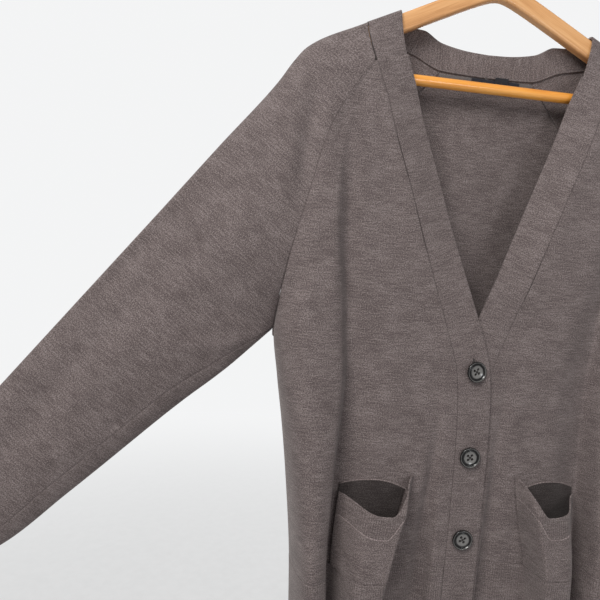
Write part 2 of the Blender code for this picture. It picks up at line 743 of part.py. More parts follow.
def arm_outline():
    """The arms seen from the front, as one loop with round ends."""
    outs = np.linspace(-ARM_REACH, ARM_REACH, 25)
    line = [(out, arm_line(out)) for out in outs]
    half = ARM_HEIGHT / 2
    upper = []
    lower = []
    for i, (out, drop) in enumerate(line):
        before = line[max(i - 1, 0)]
        after = line[min(i + 1, len(line) - 1)]
        run = math.hypot(after[0] - before[0], after[1] - before[1])
        across_out = -(after[1] - before[1]) / run * half
        across_drop = (after[0] - before[0]) / run * half
        upper.append((out - across_out, drop - across_drop))
        lower.append((out + across_out, drop + across_drop))
    ends = []
    for end, sign in ((line[-1], 1), (line[0], -1)):
        tilt = math.atan(ARM_SLOPE) * sign
        start = (-math.pi / 2 if sign > 0 else math.pi / 2) + tilt
        turned = [start + math.pi * i / 6 for i in range(1, 6)]
        ends.append([(end[0] + half * math.cos(a), end[1] + half * math.sin(a)) for a in turned])
    return upper + ends[0] + lower[::-1] + ends[1]


def wood():
    return material("wood", (0.72, 0.42, 0.18), 0.45)


def make_arms():
    """Both arms, cut from a flat board with softened edges and sockets for the bar and hook."""
    curve = bpy.data.curves.new("arms_outline", "CURVE")
    curve.dimensions = "2D"
    curve.fill_mode = "BOTH"
    curve.extrude = (ARM_THICK / 2 - EDGE_ROUND) * MM
    curve.bevel_depth = EDGE_ROUND * MM
    curve.bevel_resolution = 1
    curve.offset = -EDGE_ROUND * MM
    outline = arm_outline()
    path = curve.splines.new("POLY")
    path.points.add(len(outline) - 1)
    for point, (out, drop) in zip(path.points, outline):
        point.co = (out * MM, -drop * MM, 0.0, 1.0)
    path.use_cyclic_u = True
    guide = bpy.data.objects.new("arms_outline", curve)
    garment.objects.link(guide)
    bpy.context.view_layer.update()
    graph = bpy.context.evaluated_depsgraph_get()
    mesh = bpy.data.meshes.new_from_object(guide.evaluated_get(graph))
    bpy.data.objects.remove(guide, do_unlink=True)
    bm = bmesh.new()
    bm.from_mesh(mesh)
    bmesh.ops.remove_doubles(bm, verts=bm.verts, dist=0.00001)
    bmesh.ops.recalc_face_normals(bm, faces=bm.faces)
    bm.to_mesh(mesh)
    bm.free()
    mesh.materials.clear()
    mesh.materials.append(wood())
    arms = bpy.data.objects.new("hanger_arms", mesh)
    garment.objects.link(arms)
    arms.rotation_euler = (math.pi / 2, 0.0, 0.0)
    sockets = (
        ("socket_left", (-BAR_REACH - SOCKET / 2 + 3, 0.0, BAR_DROP), True, TENON_RADIUS + 0.3, SOCKET),
        ("socket_right", (BAR_REACH + SOCKET / 2 - 3, 0.0, BAR_DROP), True, TENON_RADIUS + 0.3, SOCKET),
        ("socket_hook", (0.0, 0.0, ARM_TOP), False, HOOK_WIRE + 0.3, 2 * STEM_DEPTH),
    )
    for name, centre, sideways, radius, length in sockets:
        cut = arms.modifiers.new(name, "BOOLEAN")
        cut.operation = "DIFFERENCE"
        cut.object = make_cutter(name, centre, sideways, radius, length)


def make_cutter(name, centre, sideways, radius, length):
    """A rod that cuts a round socket, lying along X or standing up."""
    bpy.ops.mesh.primitive_cylinder_add(vertices=16, radius=radius * MM, depth=length * MM)
    rod = bpy.context.object
    rod.name = name
    rod.location = place(RIGHT, centre)
    rod.rotation_euler = (0.0, math.pi / 2 if sideways else 0.0, 0.0)
    for group in list(rod.users_collection):
        group.objects.unlink(rod)
    cutters.objects.link(rod)
    rod.hide_render = True
    rod.display_type = "WIRE"
    return rod


def make_bar():
    """The trouser bar: a turned rod with a thinner tenon at each end."""
    profile = (
        (0.0, TENON_REACH), (TENON_RADIUS, TENON_REACH), (TENON_RADIUS, BAR_REACH),
        (BAR_RADIUS, BAR_REACH), (BAR_RADIUS, -BAR_REACH), (TENON_RADIUS, -BAR_REACH),
        (TENON_RADIUS, -TENON_REACH), (0.0, -TENON_REACH),
    )
    mesh = bpy.data.meshes.new("hanger_bar")
    points = [(radius * MM, 0.0, along * MM) for radius, along in profile]
    mesh.from_pydata(points, [(i, i + 1) for i in range(len(points) - 1)], [])
    mesh.materials.append(wood())
    bar = bpy.data.objects.new("hanger_bar", mesh)
    garment.objects.link(bar)
    turn = bar.modifiers.new("Turn", "SCREW")
    turn.steps = turn.render_steps = 20
    turn.use_merge_vertices = True
    turn.merge_threshold = 0.00001
    bar.location = place(RIGHT, (0.0, 0.0, BAR_DROP))
    bar.rotation_euler = (0.0, math.pi / 2, 0.0)


def make_hook():
    """A wire from its socket in the peak, round to the tip; its crown's underside is the origin."""
    centre_drop = HOOK_RADIUS - HOOK_WIRE
    points = [(0.0, ARM_TOP + STEM_DEPTH - 1.0), (0.0, ARM_TOP - 12.0)]
    lead = centre_drop + HOOK_RADIUS + 5.0
    points += [(0.0, lead), (0.8, lead - 3.0), (3.2, lead - 5.3)]
    for degrees in range(-68, 206, 12):
        angle = math.radians(degrees)
        points.append((HOOK_RADIUS * math.cos(angle), centre_drop - HOOK_RADIUS * math.sin(angle)))
    curve = bpy.data.curves.new("hanger_hook", "CURVE")
    curve.dimensions = "3D"
    curve.bevel_depth = HOOK_WIRE * MM
    curve.bevel_resolution = 2
    curve.use_fill_caps = True
    path = curve.splines.new("POLY")
    path.points.add(len(points) - 1)
    for point, (out, drop) in zip(path.points, points):
        point.co = (*place(RIGHT, (out, 0.0, drop)), 1.0)
    curve.materials.append(material("hook_metal", (0.62, 0.62, 0.64), 0.25, 1.0))
    hook = bpy.data.objects.new("hanger_hook", curve)
    garment.objects.link(hook)


# ---- everything ------------------------------------------------------------------------------
clear()
garment = collection("cardigan")
cutters = collection("cutters")
for side in (LEFT, RIGHT):
    make_front(side)
    make_band(side)
    make_pocket(side)
    make_lining(side)
    make_sleeve(side)
    make_cuff(side)
make_back()
make_hem()
make_neckband()
make_labels()
for number in range(1, len(BUTTON_DROPS) + 1):
    make_button(number)
make_arms()
make_bar()
make_hook()
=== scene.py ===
# %% [markdown]
# # A knitted cardigan on its hanger
# This lesson dresses a measured model of a cardigan. The frame that is loaded here has every piece in
# its place, but with coarse, plain walls. Each piece is built again as fine cloth over the same
# measures, so that what fits the frame also fits the picture.

import math

import bmesh
import bpy
import numpy as np
from mathutils import Matrix, Vector


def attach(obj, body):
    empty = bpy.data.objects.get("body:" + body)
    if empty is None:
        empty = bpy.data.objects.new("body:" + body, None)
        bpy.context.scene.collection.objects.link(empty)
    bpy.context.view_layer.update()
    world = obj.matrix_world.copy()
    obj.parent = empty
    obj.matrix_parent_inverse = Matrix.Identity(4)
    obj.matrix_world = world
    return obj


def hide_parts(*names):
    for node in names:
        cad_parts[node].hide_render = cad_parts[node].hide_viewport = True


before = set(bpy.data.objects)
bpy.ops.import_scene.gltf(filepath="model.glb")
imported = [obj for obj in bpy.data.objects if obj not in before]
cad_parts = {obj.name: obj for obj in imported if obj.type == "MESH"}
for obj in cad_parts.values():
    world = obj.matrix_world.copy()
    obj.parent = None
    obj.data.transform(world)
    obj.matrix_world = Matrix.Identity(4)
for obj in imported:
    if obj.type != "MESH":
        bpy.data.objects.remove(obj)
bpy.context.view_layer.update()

# %% [markdown]
# ## The camera
# The view is a close one: it stands over half a metre in front of the cardigan's left half and turns
# a little to the right. A lens as long as the sensor is wide gives a natural wide view. The camera is
# placed by one matrix whose columns are its right, up and backward directions.

# %% Camera
CAMERA_PLACE = Vector((-0.2805, -0.6065, -0.3707))
CAMERA_YAW = math.radians(9.0)
CAMERA_PITCH = math.radians(4.5)
CAMERA_ROLL = math.radians(4.2)
SENSOR_WIDTH = 36.0


def aim_camera():
    forward = Vector((math.sin(CAMERA_YAW) * math.cos(CAMERA_PITCH),
                      math.cos(CAMERA_YAW) * math.cos(CAMERA_PITCH), -math.sin(CAMERA_PITCH)))
    level = Vector((math.cos(CAMERA_YAW), -math.sin(CAMERA_YAW), 0.0))
    upright = level.cross(forward)
    right = level * math.cos(CAMERA_ROLL) + upright * math.sin(CAMERA_ROLL)
    up = upright * math.cos(CAMERA_ROLL) - level * math.sin(CAMERA_ROLL)
    turned = Matrix((right, up, -forward)).transposed().to_4x4()
    lens = bpy.data.cameras.new("view")
    lens.lens = SENSOR_WIDTH
    lens.sensor_width = SENSOR_WIDTH
    lens.clip_start = 0.01
    made = bpy.data.objects.new("view", lens)
    made.matrix_world = Matrix.Translation(CAMERA_PLACE) @ turned
    bpy.context.scene.collection.objects.link(made)
    bpy.context.scene.camera = made
    return made


camera = aim_camera()

# %% [markdown]
# ## Wiring shader nodes
# Every finish below is a small network of shader nodes. Two helpers keep them readable: `add` makes a
# node and fills its inputs, each with a plain value or with another node's output, and `calc` does the
# same for one step of arithmetic.

# %% Node helpers
def add(tree, kind, inputs=None, **settings):
    made = tree.nodes.new("ShaderNode" + kind)
    for name, value in settings.items():
        setattr(made, name, value)
    for name, value in (inputs or {}).items():
        if isinstance(value, bpy.types.NodeSocket):
            tree.links.new(value, made.inputs[name])
        else:
            made.inputs[name].default_value = value
    return made


def calc(tree, operation, first, second=0.0, third=0.0):
    values = {0: first, 1: second}
    if operation == "MULTIPLY_ADD":
        values[2] = third
    return add(tree, "Math", values, operation=operation).outputs[0]


def blank_finish(name):
    made = bpy.data.materials.new(name)
    made.use_nodes = True
    return made, made.node_tree, made.node_tree.nodes["Principled BSDF"]


def ramp_of(tree, factor, *stops):
    """Colours by factor, from (position, colour) stops."""
    ramped = add(tree, "ValToRGB", {"Fac": factor})
    elements = ramped.color_ramp.elements
    while len(elements) < len(stops):
        elements.new(0.5)
    for element, (position, color) in zip(elements, stops):
        element.position = position
        element.color = (*color, 1.0)
    return ramped.outputs["Color"]


# %% [markdown]
# ## Floor and light
# The cardigan hangs from a rail, so the floor is well below it. It is a pale disc that fades into the
# sky colour far away, and so it needs no wall behind, and the back can be looked at too. One large
# soft light stands at the upper left in front, as a window would. A weaker one fills from the right,
# and a third lights the back.

# %% Floor
SKY = (0.90, 0.905, 0.91)
SKY_LIGHT = 0.40


def sky_strength(tree):
    """The sky looks bright behind the cardigan, and lights it as softly as a room's walls would."""
    seen = add(tree, "LightPath").outputs["Is Camera Ray"]
    return calc(tree, "MULTIPLY_ADD", seen, 1.0 - SKY_LIGHT, SKY_LIGHT)


FLOOR_DROP = 1.62
FLOOR_REACH = 14.0
FLOOR_FADE = (0.6, 4.2)


def mesh_from(bm, name):
    """A new mesh that holds a finished bmesh, which is then let go."""
    mesh = bpy.data.meshes.new(name)
    bm.to_mesh(mesh)
    bm.free()
    return mesh


def make_floor():
    bm = bmesh.new()
    bmesh.ops.create_circle(bm, cap_ends=True, segments=96, radius=FLOOR_REACH)
    bmesh.ops.translate(bm, verts=bm.verts, vec=(0.0, 0.0, -FLOOR_DROP))
    mesh = mesh_from(bm, "floor")
    floor = bpy.data.objects.new("floor", mesh)
    bpy.context.scene.collection.objects.link(floor)
    finish, tree, surface = blank_finish("floor_paint")
    where = add(tree, "TexCoord").outputs["Object"]
    speckle = add(tree, "TexNoise", {"Vector": where, "Scale": 30.0, "Detail": 4.0}).outputs["Fac"]
    tint = ramp_of(tree, speckle, (0.3, (0.82, 0.82, 0.82)), (0.7, (0.88, 0.88, 0.88)))
    tree.links.new(tint, surface.inputs["Base Color"])
    surface.inputs["Roughness"].default_value = 0.85
    far = add(tree, "VectorMath", {0: where}, operation="LENGTH").outputs["Value"]
    fade = add(tree, "MapRange", {"Value": far, "From Min": FLOOR_FADE[0], "From Max": FLOOR_FADE[1]},
               interpolation_type="SMOOTHSTEP").outputs["Result"]
    sky = add(tree, "Emission", {"Color": (*SKY, 1.0), "Strength": sky_strength(tree)}).outputs[0]
    mixed = add(tree, "MixShader", {"Fac": fade, 1: surface.outputs[0], 2: sky})
    tree.links.new(mixed.outputs[0], tree.nodes["Material Output"].inputs["Surface"])
    mesh.materials.append(finish)


make_floor()

# %% Lights
LIGHTS = (
    # name, place, target, width, height, power, colour
    ("window", (-1.10, -1.20, 0.95), (0.0, 0.0, -0.25), 0.9, 0.9, 37.0, (1.0, 0.985, 0.96)),
    ("fill", (0.42, -1.50, -0.30), (0.0, 0.0, -0.48), 0.28, 0.36, 3.2, (0.96, 0.98, 1.0)),
    ("behind", (0.9, 1.8, 0.7), (0.0, 0.0, -0.35), 1.2, 1.2, 16.0, (1.0, 1.0, 1.0)),
)


def make_light(name, place_at, target, width, height, power, color):
    lamp = bpy.data.lights.new(name, "AREA")
    lamp.shape = "RECTANGLE"
    lamp.size = width
    lamp.size_y = height
    lamp.energy = power
    lamp.color = color
    made = bpy.data.objects.new(name, lamp)
    made.location = place_at
    made.rotation_euler = (Vector(target) - Vector(place_at)).to_track_quat("-Z", "Y").to_euler()
    bpy.context.scene.collection.objects.link(made)


for row in LIGHTS:
    make_light(*row)
world = bpy.data.worlds.new("sky")
world.use_nodes = True
background = world.node_tree.nodes["Background"]
background.inputs["Color"].default_value = (*SKY, 1.0)
world.node_tree.links.new(sky_strength(world.node_tree), background.inputs["Strength"])
bpy.context.scene.world = world
bpy.context.scene.view_settings.view_transform = "Standard"
print(len(LIGHTS), "soft lights")

# %% [markdown]
# ## Measures of the garment
# The frame's measures are in millimetres: *out* from the centre line towards a sleeve, *fore* in front
# of the hanger's middle plane and *drop* below the hook. A seam or fold is a short table of such
# points, and `smooth` draws the curve through them without overshooting. The functions work on whole
# numpy rows at once, which keeps fine cloth quick to lay out.

# %% Curves through tables
MM = 0.001
LEFT = -1
RIGHT = 1


def slopes(xs, ys):
    steps = np.diff(xs)
    rates = np.diff(ys) / steps
    result = np.concatenate((rates[:1], np.zeros(len(xs) - 2), rates[-1:]))
    for i in range(1, len(xs) - 1):
        if rates[i - 1] * rates[i] > 0:
            ahead = 2 * steps[i] + steps[i - 1]
            back = steps[i] + 2 * steps[i - 1]
            result[i] = (ahead + back) / (ahead / rates[i - 1] + back / rates[i])
    return result


def smooth(x, xs, ys):
    """Values at x of the smooth curve through the points (xs, ys), level beyond its ends."""
    xs = np.asarray(xs, float)
    ys = np.asarray(ys, float)
    x = np.clip(x, xs[0], xs[-1])
    i = np.clip(np.searchsorted(xs, x, side="right") - 1, 0, len(xs) - 2)
    m = slopes(xs, ys)
    h = xs[i + 1] - xs[i]
    t = (x - xs[i]) / h
    low = (1 + 2 * t) * (1 - t) ** 2 * ys[i] + t * (1 - t) ** 2 * h * m[i]
    return low + t * t * (3 - 2 * t) * ys[i + 1] + t * t * (t - 1) * h * m[i + 1]


def column(table, x, index):
    """One named column of a table at x, where x is the table's first column."""
    return smooth(x, [row[0] for row in table], [row[index] for row in table])


def ramp(x, low, high):
    t = np.clip((np.asarray(x, float) - low) / (high - low), 0.0, 1.0)
    return t * t * (3 - 2 * t)


def bell(x, middle, reach):
    return np.exp(-((np.asarray(x, float) - middle) / reach) ** 2)


def points(out, fore, drop):
    """An array of points whose last axis is out, fore and drop."""
    return np.stack(np.broadcast_arrays(out, fore, drop), axis=-1).astype(float)


def placed(side, spots):
    """World places of such points, in metres."""
    return spots * np.array((side, -1.0, -1.0)) * MM


# %% Seam lines
KNIT = 1.6
RIB = 2.0
DOUBLE_KNIT = 2.4
SEAM = 0.15
BAND_CLEAR = 1.2 * SEAM
SIDE_CLEAR = 1.4 * SEAM
STACK = 0.35
NECK_DROP = 175.0
UNDERARM_DROP = 446.0
RIB_DROP = 692.0
HEM_DROP = 763.0
BAND_WIDTH = 35.5
UNDERLAP = 3.2
UNDERLAP_DROPS = (385.0, 440.0)
UNDERLAP_SHARE = 0.75
SIDE_SEAM = ((498.0, 202.0, 0.0), (545.0, 194.0, 0.0), (600.0, 186.0, 0.0), (697.0, 175.0, 0.0),
             (763.0, 171.0, 0.0))
FRONT_SIDE = (
    # drop, out, fore
    (175.0, 129.0, 17.0), (213.0, 153.0, 20.0), (250.0, 171.0, 22.0), (315.0, 187.0, 23.0),
    (372.0, 200.0, 19.0), (415.0, 206.5, 11.0), (446.0, 209.0, 1.2)) + SIDE_SEAM
BACK_SIDE = (
    # drop, out, fore
    (170.0, 51.0, -14.0), (202.0, 80.0, -17.0), (245.0, 115.0, -20.0), (300.0, 150.0, -21.0),
    (360.0, 182.0, -17.0), (415.0, 204.0, -9.0), (446.0, 209.0, -1.2)) + SIDE_SEAM
BAND_SEAM = (
    # drop, out, fore
    (176.0, 128.5, 17.0), (208.0, 116.0, 19.0), (239.0, 106.0, 21.0), (286.0, 89.0, 23.5),
    (334.0, 72.0, 25.0), (393.0, 51.0, 26.0), (439.0, 34.0, 27.0), (482.0, 20.0, 27.5),
    (511.0, 16.0, 27.5), (572.0, 13.5, 27.5), (692.0, 13.0, 26.0), (763.0, 13.0, 25.0))
BAND_LEAN = ((176.0, 7.0), (239.0, 11.0), (334.0, 10.0), (410.0, 4.0), (470.0, 0.0), (763.0, 0.0))
NECK = (
    # seam out, fore, drop      edge out, fore, drop
    ((128.5, 17.0, 176.0), (96.8, 10.0, 165.5)),
    ((134.5, 13.5, 158.0), (101.0, 9.4, 149.0)),
    ((136.6, 8.8, 146.5), (104.0, 8.8, 131.5)),
    ((137.0, 7.2, 139.9), (104.4, 7.2, 124.2)),
    ((137.0, 0.0, 137.5), (104.5, 0.0, 122.2)),
    ((136.5, -7.2, 140.0), (103.5, -7.2, 124.4)),
    ((133.0, -9.0, 146.0), (100.0, -9.0, 129.0)),
    ((112.0, -12.0, 151.5), (90.0, -11.5, 131.0)),
    ((83.0, -14.0, 157.5), (73.0, -12.5, 132.0)),
    ((51.0, -14.0, 170.0), (52.0, -13.5, 142.0)),
    ((20.0, -14.0, 171.5), (22.0, -13.5, 147.0)),
    ((0.0, -14.0, 171.8), (0.0, -13.5, 148.0)),
)
SHOULDER_ROW = 4
BACK_RAGLAN_ROW = 9

# %% [markdown]
# ## Folds of the panels
# The fronts hang in a big soft roll at each side, then a groove, and a flatter part up to the button
# band. Each named line runs down the panel at a share of the way from the side seam to the band, and
# a second table says how far forward it stands. This is the frame's own layout, kept as it is.

# %% Fold lines
LEVELS = (175.0, 280.0, 420.0, 590.0, 692.0, 763.0)
FRONT_SHARES = {
    "side": (0.0, 0.0, 0.0, 0.0, 0.0, 0.0),
    "roll": (0.14, 0.13, 0.17, 0.115, 0.085, 0.085),
    "lip": (0.24, 0.23, 0.355, 0.237, 0.17, 0.17),
    "groove": (0.32, 0.31, 0.415, 0.29, 0.22, 0.22),
    "pocket": (0.54, 0.55, 0.61, 0.53, 0.42, 0.37),
    "foot": (0.75, 0.76, 0.80, 0.75, 0.59, 0.51),
    "valley": (0.86, 0.86, 0.87, 0.888, 0.887, 0.882),
    "brink": (0.93, 0.93, 0.935, 0.933, 0.928, 0.926),
    "seam": (1.0, 1.0, 1.0, 1.0, 1.0, 1.0),
}
FRONT_FORES = {
    "roll": (17.0, 24.0, 33.0, 50.0, 58.0, 57.0),
    "lip": (17.0, 23.8, 28.0, 42.0, 50.0, 50.0),
    "groove": (17.0, 22.5, 19.0, 13.0, 13.0, 14.0),
    "pocket": (17.0, 24.0, 25.0, 24.0, 20.0, 18.0),
    "foot": (17.0, 24.0, 26.0, 26.0, 21.0, 19.0),
    "valley": (17.0, 24.0, 26.5, 23.5, 15.0, 12.0),
    "brink": (17.0, 24.0, 26.8, 27.0, 25.6, 24.6),
}
BACK_SHARES = {
    "side": (0.0, 0.0, 0.0, 0.0, 0.0, 0.0),
    "edge": (0.12, 0.12, 0.13, 0.14, 0.14, 0.14),
    "hollow": (0.40, 0.40, 0.38, 0.36, 0.35, 0.35),
    "swell": (0.66, 0.66, 0.66, 0.67, 0.68, 0.68),
    "centre": (1.0, 1.0, 1.0, 1.0, 1.0, 1.0),
}
BACK_FORES = {
    "edge": (-14.0, -22.0, -25.0, -26.0, -25.0, -24.0),
    "hollow": (-14.0, -23.0, -24.0, -18.0, -13.0, -12.0),
    "swell": (-14.0, -22.0, -27.0, -29.0, -28.0, -27.0),
    "centre": (-14.0, -20.0, -25.0, -23.0, -19.0, -18.0),
}
GROOVE_STEP = 3.0
ROUND_FROM = 405.0
ROUND_TO = 450.0
LEVEL_FROM = 230.0


# %% Points across a panel
def across(shares, fores, side_fore, end_fore, drop, steps):
    """Share and fore of the points at `steps` lines from the side, at one level of a panel."""
    share_row = np.array([smooth(drop, LEVELS, row) for row in shares.values()])
    fore_row = [side_fore] + [smooth(drop, LEVELS, row) for row in fores.values()]
    if end_fore is not None:
        fore_row.append(end_fore)
    span = np.minimum(np.asarray(steps).astype(int), len(share_row) - 2)
    t = steps - span
    share = share_row[span] + (share_row[span + 1] - share_row[span]) * t
    fore = smooth(share, share_row, fore_row)
    fold = ramp(drop, ROUND_FROM, ROUND_TO) * (span == 0)
    quarter = t * math.pi / 2
    share = share + (share_row[1] * (1 - np.cos(quarter)) - share) * fold
    fore = fore + (side_fore + (fore_row[1] - side_fore) * np.sin(quarter) - fore) * fold
    return share, fore


def behind(side, drop, share):
    """How far the right front steps back under the left one, near the buttons."""
    step = UNDERLAP if side == RIGHT else 0.0
    return step * ramp(drop, *UNDERLAP_DROPS) * ramp(share, UNDERLAP_SHARE, 1.0)


def front_row(side, drop, steps):
    side_out = column(FRONT_SIDE, drop, 1) - BAND_CLEAR
    seam_out = column(BAND_SEAM, drop, 1) + BAND_CLEAR
    side_fore = column(FRONT_SIDE, drop, 2) + 2 * SEAM
    share, fore = across(FRONT_SHARES, FRONT_FORES, side_fore, column(BAND_SEAM, drop, 2), drop, steps)
    return points(side_out + (seam_out - side_out) * share, fore - behind(side, drop, share), drop)


def back_half(drop, steps):
    side_out = column(BACK_SIDE, drop, 1) - SIDE_CLEAR
    share, fore = across(BACK_SHARES, BACK_FORES, column(BACK_SIDE, drop, 2) - 2 * SEAM, None, drop, steps)
    seams = [row[0] for row in NECK[:BACK_RAGLAN_ROW - 1:-1]]
    out = side_out * (1 - share)
    top = smooth(out, [seam[0] for seam in seams], [seam[2] for seam in seams])
    raglan_top = seams[-1][2]
    return points(out, fore, drop + (top - raglan_top) * (1 - ramp(drop, raglan_top, LEVEL_FROM)))


def stepped(*counts):
    """Positions across a panel, with the given number of faces between each two lines."""
    found = [line + np.arange(count) / count for line, count in enumerate(counts)]
    return np.concatenate(found + [[float(len(counts))]])


FRONT_STEPS = stepped(16, 12, 8, 15, 13, 12, 6, 7)
BACK_STEPS = stepped(14, 14, 14, 14)
print(len(FRONT_STEPS), "columns in a front,", 2 * len(BACK_STEPS) - 1, "in the back")

# %% [markdown]
# ## Creases
# A knit that hangs is never even. Small creases run from where it is held or pinched: the hanger's
# ends, the underarms, the pocket. Each is one row here: a line from one point to another, how wide
# the crease is, and how far it stands up (or, below zero, sinks) on the left and on the right side.
# They are uneven in length, depth and spacing, and the two sides differ, as on a real garment.

# %% Crease tables
FRONT_CREASES = (
    # from out, drop, to out, drop, width, left height, right height
    (36.0, 560.0, 44.0, 790.0, 5.5, -5.0, -2.2),
    (29.0, 575.0, 34.0, 790.0, 5.0, 1.8, 1.0),
    (148.0, 268.0, 136.0, 452.0, 8.0, -5.0, -1.6),
    (161.0, 276.0, 154.0, 452.0, 9.0, 2.6, 1.2),
    (186.0, 196.0, 196.0, 336.0, 9.0, -3.4, -2.4),
    (170.0, 205.0, 176.0, 322.0, 12.0, 2.2, 1.6),
    (203.0, 212.0, 214.0, 330.0, 11.0, 1.4, 1.6),
    (206.0, 430.0, 168.0, 352.0, 8.0, -1.6, -1.1),
    (210.0, 446.0, 176.0, 402.0, 6.0, 1.3, 1.7),
    (204.0, 462.0, 182.0, 520.0, 10.0, -1.4, -1.9),
    (186.0, 470.0, 176.0, 590.0, 9.0, 1.0, 0.8),
    (118.0, 240.0, 92.0, 372.0, 14.0, -1.1, -0.9),
    (98.0, 330.0, 82.0, 468.0, 12.0, 0.9, 0.7),
    (60.0, 470.0, 72.0, 588.0, 9.0, -0.9, -1.2),
    (44.0, 520.0, 40.0, 640.0, 7.0, 1.0, 1.3),
    (66.0, 632.0, 63.0, 700.0, 5.0, -0.8, -1.6),
    (120.0, 520.0, 104.0, 596.0, 10.0, 0.9, 0.6),
    (30.0, 430.0, 58.0, 500.0, 9.0, 0.7, 0.5),
    (160.0, 560.0, 158.0, 690.0, 7.0, 0.9, -0.8),
    (142.0, 640.0, 143.0, 763.0, 5.0, 0.6, 1.1),
)
SLEEVE_CREASES = (
    (262.0, 272.0, 436.0, 484.0, 17.0, -6.0, -4.5),
    (214.0, 452.0, 286.0, 418.0, 8.0, -1.7, -1.3),
    (226.0, 468.0, 330.0, 470.0, 9.0, 1.4, 1.8),
    (236.0, 420.0, 300.0, 366.0, 10.0, -1.0, -1.4),
    (300.0, 520.0, 376.0, 566.0, 8.0, -1.5, -1.0),
    (330.0, 436.0, 402.0, 540.0, 12.0, 1.1, 0.8),
    (380.0, 560.0, 452.0, 610.0, 7.0, 1.0, 1.6),
    (420.0, 520.0, 470.0, 600.0, 9.0, -1.2, -0.9),
    (468.0, 622.0, 520.0, 668.0, 6.0, -1.2, -1.6),
    (486.0, 596.0, 528.0, 640.0, 6.0, 1.0, 0.7),
)
BACK_CREASES = (
    (186.0, 196.0, 168.0, 330.0, 11.0, 1.7, 1.3),
    (160.0, 230.0, 138.0, 380.0, 13.0, -1.5, -1.9),
    (208.0, 440.0, 150.0, 380.0, 9.0, 1.6, 1.1),
    (206.0, 458.0, 160.0, 500.0, 9.0, -1.4, -1.7),
    (96.0, 300.0, 90.0, 470.0, 16.0, -1.2, -0.8),
    (52.0, 220.0, 60.0, 400.0, 15.0, 1.2, 0.9),
    (120.0, 520.0, 112.0, 690.0, 12.0, 1.3, 1.7),
    (24.0, 430.0, 30.0, 640.0, 14.0, -1.1, 1.0),
    (160.0, 560.0, 154.0, 740.0, 9.0, -1.3, -0.9),
    (76.0, 600.0, 70.0, 763.0, 8.0, 1.0, -1.2),
)

CREASE_START = (-0.12, 0.3)
CREASE_END = (0.62, 1.12)


def creases(table, side, out, drop):
    """How far the creases of one side lift the cloth at each point."""
    lift = np.zeros(np.broadcast(out, drop).shape)
    for from_out, from_drop, to_out, to_drop, width, left, right in table:
        run = np.array((to_out - from_out, to_drop - from_drop))
        length = np.hypot(*run)
        along = ((out - from_out) * run[0] + (drop - from_drop) * run[1]) / length ** 2
        away = np.abs((out - from_out) * run[1] - (drop - from_drop) * run[0]) / length
        ends = ramp(along, *CREASE_START) * (1 - ramp(along, *CREASE_END))
        lift += (left if side == LEFT else right) * ends * bell(away, 0.0, width)
    return lift


def unevenness(side, out, drop):
    """A very low, slow ripple, so that no stretch of cloth is perfectly even."""
    first = np.sin(out / 11.3 + side * 0.8 + 1.3 * np.sin(drop / 37.0))
    second = np.sin(drop / 13.7 + 0.9 * np.sin(out / 23.0 + side) + side * 1.9)
    third = np.sin((out + drop) / 29.0 + side * 2.3)
    return 0.16 * first + 0.12 * second + 0.30 * third


HOLD_FROM = 400.0
HOLD_REACH = 14.0
BODY_OUT = 230.0
FRONT_CALM = (176.0, 215.0)
BACK_CALM = (165.0, 215.0)
BACK_SHIFT = 40.0


def seam_hold(out, drop):
    """Nothing along the side seam, where the front and the back are joined, and one away from it."""
    from_seam = np.abs(column(FRONT_SIDE, drop, 1) - np.abs(out))
    near = (1 - ramp(from_seam, 0.0, HOLD_REACH)) * (np.abs(out) < BODY_OUT)
    return 1 - ramp(drop, HOLD_FROM, UNDERARM_DROP) * near


def creased_front(side, spots):
    """Moves points of the fronts and of the sleeves' front halves by their creases."""
    out, drop = spots[..., 0], spots[..., 2]
    lift = creases(FRONT_CREASES, side, out, drop) + creases(SLEEVE_CREASES, side, out, drop)
    lift += unevenness(side, out, drop)
    spots[..., 1] += lift * ramp(drop, *FRONT_CALM) * seam_hold(out, drop)
    return spots


def creased_back(side, spots):
    """The same for the back and the sleeves' back halves, where a fold in front is a hollow behind."""
    out, drop = spots[..., 0], spots[..., 2]
    lift = creases(BACK_CREASES, side, out, drop) + creases(SLEEVE_CREASES, -side, out, drop)
    lift += unevenness(-side, out, drop + BACK_SHIFT)
    spots[..., 1] -= lift * ramp(drop, *BACK_CALM) * seam_hold(out, drop)
    return spots


print(len(FRONT_CREASES) + len(SLEEVE_CREASES) + len(BACK_CREASES), "creases placed")

# %% [markdown]
# ## Yarn and stitches
# The cardigan is knitted from heathered yarn: dark, mid and pale fibres carded together. From close by
# that gives flecks as fine as a stitch, short streaks along the rows where one length of yarn is a
# shade darker, and slow clouds. The stitches themselves are columns of small V shapes. Both patterns
# read the cloth's own UV map, which holds metres of flat cloth, so they follow every fold and keep
# their real size. The fuzz is the shader's sheen.

# %% Knit finish
YARN_DARK = (0.064, 0.0495, 0.0480)
YARN_MID = (0.150, 0.1195, 0.1165)
YARN_PALE = (0.320, 0.272, 0.264)
WALE = 0.00150
COURSE = 0.00115
RIB_PITCH = 0.0024


def stitch_height(tree, u, v):
    """Stocking stitch: two leaning legs in each column, one V in each row."""
    turn = calc(tree, "FRACT", calc(tree, "MULTIPLY", u, 1 / WALE))
    leg = calc(tree, "ABSOLUTE", calc(tree, "MULTIPLY_ADD", turn, 2.0, -1.0))
    round_leg = calc(tree, "SINE", calc(tree, "MULTIPLY", leg, math.pi))
    slant = calc(tree, "MULTIPLY_ADD", v, 1 / COURSE, calc(tree, "MULTIPLY", leg, 0.7))
    beat = calc(tree, "COSINE", calc(tree, "MULTIPLY", slant, 2 * math.pi))
    return calc(tree, "MULTIPLY", round_leg, calc(tree, "MULTIPLY_ADD", beat, 0.3, 0.7))


